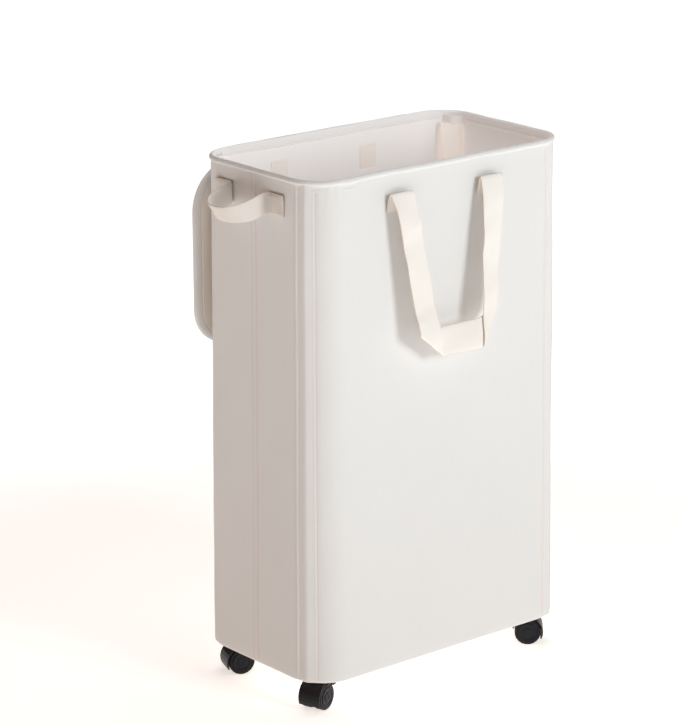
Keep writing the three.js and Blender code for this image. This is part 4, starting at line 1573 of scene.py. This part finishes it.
@dataclass
class Lid:
    """The stiffened lid: one padded cloth body, a binding round its edge and a soft hinge strip."""

    shop: Shop
    hinge_radius: float = 66.0
    free_radius: float = 48.0
    binding_width: float = 10.5
    half: float = 0.0
    low: float = 0.0
    high: float = 0.0
    near: float = 0.0
    far: float = 0.0

    def __post_init__(self) -> None:
        """Take the lid's box from the frame."""
        low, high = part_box("lid_binding")
        self.half = (high.x - low.x) / 2.0 / METRE
        self.low, self.high = low.z / METRE, high.z / METRE
        self.near = (low.y - self.shop.middle) / METRE
        self.far = (high.y - self.shop.middle) / METRE

    def outline(self, inset: float) -> Rows:
        """Follow the lid's edge, always with the same number of points.

        Args:
            inset: How far the line is set in.

        Returns:
            The points, along and up.
        """
        radii = (self.hinge_radius, self.free_radius, self.free_radius, self.hinge_radius)
        middle, rise = (self.low + self.high) / 2.0, (self.high - self.low) / 2.0
        bends = []
        for (side_x, side_z, start), radius in zip(TURNS, radii):
            bend = max(radius - inset, 2.0)
            centre = (side_x * (self.half - inset - bend), middle + side_z * (rise - inset - bend))
            bends.append((*centre, start, bend))
        return rounded(bends, 16, 24)

    def body(self) -> bpy.types.Object:
        """Make the lid's cloth body.

        Returns:
            The body.
        """
        steps = [0.6, 2.0, 8.0, 12.0, 18.0, 30.0, 45.0, 60.0, 75.0, 90.0, 105.0, 118.0]
        rings, cloth = [], []
        for depth, order, sign in ((self.near, steps[::-1], -1.0), (self.far, steps, 1.0)):
            for step in order:
                points = self.outline(step)
                inner = depth - sign * (0.9 if step < 9.0 else 0.35)
                live = float(ease(np.array(step), 10.0, 24.0))
                soft = waves(points[:, 0], points[:, 1], 0.5, 31 + int(sign)) * live
                seam = 0.35 * bell(np.array(step - 12.0), 1.6)
                y = inner - sign * seam + sign * np.minimum(soft, 0.3)
                rings.append(np.column_stack([points[:, 0], y, points[:, 1]]))
                cloth.append(points)
        piece = self.shop.tube("lid_cloth", np.array(rings), Finish.LID_FACE, np.array(cloth), closed=False,
                               caps=True)
        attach(piece, "lid")
        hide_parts("lid_top_cover", "lid_under_cover")
        return piece

    def binding(self) -> None:
        """Wrap the binding round the lid's edge."""
        middle, half = (self.near + self.far) / 2.0, (self.far - self.near) / 2.0
        profile = [(self.binding_width, half - 1.1), (self.binding_width, half - 0.2), (9.4, half + 0.05),
                   (6.0, half + 0.1), (3.0, half), (1.0, half * 0.75), (0.1, half * 0.4), (0.0, 0.0),
                   (0.1, -half * 0.4), (1.0, -half * 0.75), (3.0, -half), (6.0, -half - 0.1),
                   (9.4, -half - 0.05),
                   (self.binding_width, -half + 0.2), (self.binding_width, -half + 1.1), (4.0, 0.0)]
        rings, cloth = [], []
        reach = 0.0
        for step, out in profile:
            points = self.outline(step)
            run = run_of(points)
            ripple = 0.14 * np.sin(run * 0.9) * (1.0 if step > 2.0 else 0.0)
            level = middle + out + math.copysign(1.0, out) * ripple
            rings.append(np.column_stack([points[:, 0], level, points[:, 1]]))
            cloth.append(cloth_row(run, reach))
            reach += 2.0
        piece = self.shop.tube("lid_binding_cloth", np.array(rings), Finish.CANVAS, np.array(cloth),
                               closed=True, crease=70.0)
        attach(piece, "lid")
        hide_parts("lid_binding")

    def piping(self) -> None:
        """Lay a thin cream cord inside the binding on both faces."""
        for depth, sign, word in ((self.near, -1.0, "near"), (self.far, 1.0, "far")):
            rings, cloth = [], []
            for k in range(8):
                turn = math.tau * k / 8
                points = self.outline(self.binding_width + 2.6 + 0.95 * math.cos(turn))
                level = depth - sign * 0.5 + 0.8 * math.sin(turn)
                rings.append(np.column_stack([points[:, 0], np.full(len(points), level), points[:, 1]]))
                cloth.append(cloth_row(run_of(points), 0.7 * k))
            piece = self.shop.tube(f"lid_piping_{word}", np.array(rings), Finish.PIPING, np.array(cloth),
                                   closed=True)
            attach(piece, "lid")

    def hinge(self) -> None:
        """Make the soft strip between the rim hem and the lid."""
        low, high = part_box("lid_hinge_strip")
        reach = high.x / METRE
        far = (high.y - self.shop.middle) / METRE
        near = (low.y - self.shop.middle) / METRE
        middle = (near + far) / 2.0
        bottom, top = self.high - 6.0, high.z / METRE
        path = smooth_path([(middle, bottom), (middle, self.high + 5.0), (middle - 1.6, top - 4.5),
                            (131.0, top - 1.6), (126.6, top - 2.6), (124.4, top - 6.0),
                            (124.0, top - 10.0)], 1.4)
        run = run_of(path)
        across = np.linspace(-reach, reach, 41)
        grid = np.zeros((len(path), len(across), 3))
        for j, x in enumerate(across):
            grid[:, j, 0] = x
            grid[:, j, 1] = path[:, 0] + 0.3 * np.sin(x / 13.0) * np.sin(run / run[-1] * math.pi)
            grid[:, j, 2] = path[:, 1]
        uv = np.dstack(np.meshgrid(run, across, indexing="ij"))
        piece = self.shop.ribbon("lid_hinge_cloth", grid, 1.1, Finish.CANVAS, uv)
        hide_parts("lid_hinge_strip")
        self.shop.place(0.0, 125.5, top - 2.0)
        self.shop.place(0.0, middle, top - 4.5)
        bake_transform(piece)

    def build(self) -> None:
        """Make the lid."""
        body = self.body()
        self.binding()
        self.piping()
        self.hinge()


# ------------------------------------------------------------------------------------------- casters


@dataclass
class Wheels:
    """Raised faces on the twin wheels, modelled once and copied."""

    shop: Shop
    rim: float = 13.6
    hub: float = 6.2

    def disc(self) -> bpy.types.Object:
        """Model one wheel's cover on its side at the origin: a dished disc with a hub.

        Returns:
            The cover, its axis along Y.
        """
        bpy.ops.object.select_all(action="DESELECT")
        bpy.ops.mesh.primitive_cylinder_add(vertices=48, radius=self.rim * METRE, depth=1.2 * METRE,
                                            location=(0.0, 0.0, 0.0))
        disc = bpy.context.active_object
        bpy.ops.object.mode_set(mode="EDIT")
        bpy.ops.mesh.select_mode(type="FACE")
        self.top_face(disc, 0.6)
        web = self.rim - self.hub - 3.4
        for thickness, depth in ((1.5, 0.5), (1.0, -0.6), (web, -0.1), (0.7, 0.8), (3.0, 0.1), (0.6, -0.5)):
            bpy.ops.mesh.inset(thickness=thickness * METRE, depth=depth * METRE)
        bpy.ops.object.mode_set(mode="OBJECT")
        bevel = disc.modifiers.new("edge", "BEVEL")
        bevel.width = 0.22 * METRE
        bevel.segments = 2
        bevel.limit_method = "ANGLE"
        bpy.ops.object.modifier_apply(modifier=bevel.name)
        return disc

    def top_face(self, piece: bpy.types.Object, height: float) -> None:
        """Select only the faces that look up at one height.

        Args:
            piece: The piece, in edit mode.
            height: The faces' height, in mm.
        """
        bpy.ops.object.mode_set(mode="OBJECT")
        for face in piece.data.polygons:
            face.select = face.normal.z > 0.9 and abs(face.center.z - height * METRE) < 0.05 * METRE
        bpy.ops.object.mode_set(mode="EDIT")

    def build(self) -> None:
        """Copy the cover to the outer face of every wheel."""
        model = self.disc()
        for corner in CORNERS:
            for letter in "ab":
                wheel = f"wheel_{corner}_{letter}"
                other = f"wheel_{corner}_{'b' if letter == 'a' else 'a'}"
                centre = self.middle_of(wheel)
                axle = (centre - self.middle_of(other)).normalized()
                turn = Vector((0.0, 0.0, 1.0)).rotation_difference(axle).to_matrix().to_4x4()
                data = model.data.copy()
                data.transform(Matrix.Translation(centre + axle * 6.0 * METRE) @ turn)
                piece = bpy.data.objects.new(f"wheel_face_{corner}_{letter}", data)
                bpy.context.collection.objects.link(piece)
                piece.data.materials.clear()
                piece.data.materials.append(Finish.WHEEL.material())
                self.shop.shade(piece, 35.0)
                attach(piece, wheel)
        bpy.data.objects.remove(model)

    def middle_of(self, node: str) -> Vector:
        """The middle of a node's box."""
        low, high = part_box(node)
        return (low + high) / 2.0


# ------------------------------------------------------------------------------------------ stitches


@dataclass
class Stitches:
    """Rows of raised thread stitches, one piece a group."""

    shop: Shop
    pitch: float = 3.6
    length: float = 2.7
    radius: float = 0.3

    def sew(self, name: str, body: str, lines: Sequence[tuple[Rows, Rows]]) -> None:
        """Lay stitches along lines on a surface.

        Args:
            name: The piece's name.
            body: The body it rides on.
            lines: Pairs of points and outward normals along each line.
        """
        points: list[Rows] = []
        faces: list[tuple[int, ...]] = []
        for line, normals in lines:
            run = run_of(line)
            for spot in np.arange(self.pitch / 2.0, run[-1], self.pitch):
                half = self.length / 2.0
                ends = [np.array([np.interp(place, run, line[:, k]) for k in range(3)])
                        for place in (spot - half, spot + half)]
                normal = np.array([np.interp(spot, run, normals[:, k]) for k in range(3)])
                along = ends[1] - ends[0]
                along /= max(np.linalg.norm(along), 1e-9)
                side = np.cross(along, normal)
                start = sum(len(part) for part in points)
                rings = []
                for share, size in ((-0.5, 0.35), (-0.3, 1.0), (0.3, 1.0), (0.5, 0.35)):
                    centre = (ends[0] + ends[1]) / 2.0 + along * share * self.length \
                        + normal * self.radius * (0.55 if size > 0.9 else -0.2)
                    for k in range(5):
                        turn = math.tau * k / 5
                        round_ = side * math.cos(turn) + normal * math.sin(turn)
                        rings.append(centre + round_ * self.radius * size)
                points.append(np.array(rings))
                for i in range(3):
                    for k in range(5):
                        a, b = start + i * 5 + k, start + i * 5 + (k + 1) % 5
                        faces.append((a, b, b + 5, a + 5))
                faces.append(tuple(start + k for k in range(5))[::-1])
                faces.append(tuple(start + 15 + k for k in range(5)))
        piece = self.shop.mesh(name, np.vstack(points), faces, Finish.THREAD)
        self.shop.outward(piece)
        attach(piece, body)

    def hem(self, tub: Tub) -> None:
        """Sew the hem round the rim, outside and inside.

        Args:
            tub: The tub, once its hem is made.
        """
        points, normals, run = tub.hem_line
        lift = np.column_stack([normals, np.zeros(len(points))])
        lines = []
        for out, up in ((-2.6, -11.7), (-6.75, -9.4)):
            reach = tub.flare_high + 1.8 + out + waves(run, np.array(0.0), 0.35, 3)
            height = tub.rim + up - 0.4 + waves(run, np.array(0.0), 0.5, 12)
            line = ring(points, normals, reach, height)
            facing = lift if out > -4.0 else -lift
            lines.append((np.vstack([line, line[:1]]), np.vstack([facing, facing[:1]])))
        self.sew("hem_stitches", "tub", lines)

    def loops(self, loops: SideLoop) -> None:
        """Sew the ends of a side loop with a box and a cross.

        Args:
            loops: The side loop.
        """
        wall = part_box("right_panel")[1].x / METRE - 2.0 + loops.thickness + 0.3
        lines = []
        for end in (-1, 1):
            inner, outer, half = 42.0, 64.0, loops.width / 2.0 - 3.0
            spots = [(inner, -half), (outer, -half), (outer, half), (inner, half), (inner, -half),
                     (outer, half), (inner, half), (outer, -half)]
            for a, b in zip(spots, spots[1:]):
                t = np.linspace(0.0, 1.0, 12)[:, None]
                flat = np.array([a]) * (1 - t) + np.array([b]) * t
                line = np.column_stack([np.full(12, loops.side * (wall + 0.05)),
                                        end * flat[:, 0] + loops.back_shift, loops.height + flat[:, 1]])
                lines.append((line, np.tile([loops.side, 0.0, 0.0], (12, 1))))
        self.sew(f"{loops.name}_loop_stitches", "tub", lines)

    def tabs(self, strap: LongStrap) -> None:
        """Sew the front strap's tabs.

        Args:
            strap: The front strap.
        """
        lines = []
        for centre in (strap.first_top[0], strap.second_top[0]):
            half = strap.width / 2.0 - 3.0
            for z in (673.5, 677.0):
                line = np.column_stack([np.linspace(centre - half, centre + half, 12), np.full(12, -125.6),
                                        np.full(12, z)])
                lines.append((line, np.tile([0.0, -1.0, 0.0], (12, 1))))
        self.sew("front_tab_stitches", "tub", lines)

    def lid(self, lid: Lid) -> None:
        """Sew the lid's binding on both faces.

        Args:
            lid: The lid.
        """
        lines = []
        for depth, facing in ((lid.near - 0.1, -1.0), (lid.far + 0.1, 1.0)):
            points = lid.outline(9.0)
            line = np.column_stack([points[:, 0], np.full(len(points), depth), points[:, 1]])
            normal = np.tile([0.0, facing, 0.0], (len(points) + 1, 1))
            lines.append((np.vstack([line, line[:1]]), normal))
        self.sew("lid_stitches", "lid", lines)


# -------------------------------------------------------------------------------------------- making


@dataclass
class CarriedNodes:
    """Finishes on the hard nodes that keep their own shape."""

    prefixes: dict[str, Finish] = field(default_factory=lambda: {
        "rim_wire": Finish.STEEL, "base_board": Finish.BOARD, "lid_board": Finish.BOARD,
        "support_rod": Finish.ROD, "caster_stem": Finish.STEEL, "caster_nut": Finish.STEEL,
        "caster_axle": Finish.STEEL, "caster_hood": Finish.NYLON, "wheel_": Finish.WHEEL})

    def dress(self) -> int:
        """Give each node its finish.

        Returns:
            How many nodes were dressed.
        """
        for name in frame["nodes"]:
            piece = bpy.data.objects[name]
            found = (value for key, value in self.prefixes.items() if name.startswith(key))
            finish = next(found, Finish.CANVAS)
            piece.data.materials.clear()
            piece.data.materials.append(finish.material())
        return len(frame["nodes"])


def report(stage: str, known: set[str]) -> None:
    """Log each piece that a stage has added.

    Args:
        stage: The sub-assembly that was just made.
        known: Names of the pieces that stood before, to which the new ones are added.
    """
    for piece in bpy.data.objects:
        if piece.name not in known:
            known.add(piece.name)
            LOG.info("%s: %s, %d faces", stage, piece.name, len(getattr(piece.data, "polygons", ())))


def main() -> None:
    """Build the hamper's looks in order."""
    logging.basicConfig(level=logging.INFO, format="%(name)s: %(message)s")
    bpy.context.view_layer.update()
    bpy.ops.object.select_all(action="DESELECT")
    known = {piece.name for piece in bpy.data.objects}
    shop = Shop()
    Studio(shop).build()
    report("studio", known)
    LOG.info("%d nodes dressed", CarriedNodes().dress())
    tub = Tub(shop)
    tub.build()
    report("tub", known)
    strap = LongStrap(shop)
    strap.build()
    BackStrap(shop).build()
    loops = [SideLoop(shop, -1, "left"), SideLoop(shop, 1, "right")]
    for loop in loops:
        loop.build()
    report("straps", known)
    for corner in CORNERS:
        CornerFlap(shop, corner).build()
    lid = Lid(shop)
    lid.build()
    report("flaps and lid", known)
    Wheels(shop).build()
    stitches = Stitches(shop)
    stitches.hem(tub)
    stitches.tabs(strap)
    stitches.lid(lid)
    for loop in loops:
        stitches.loops(loop)
    report("wheels and stitches", known)


if __name__ == "__main__":
    main()
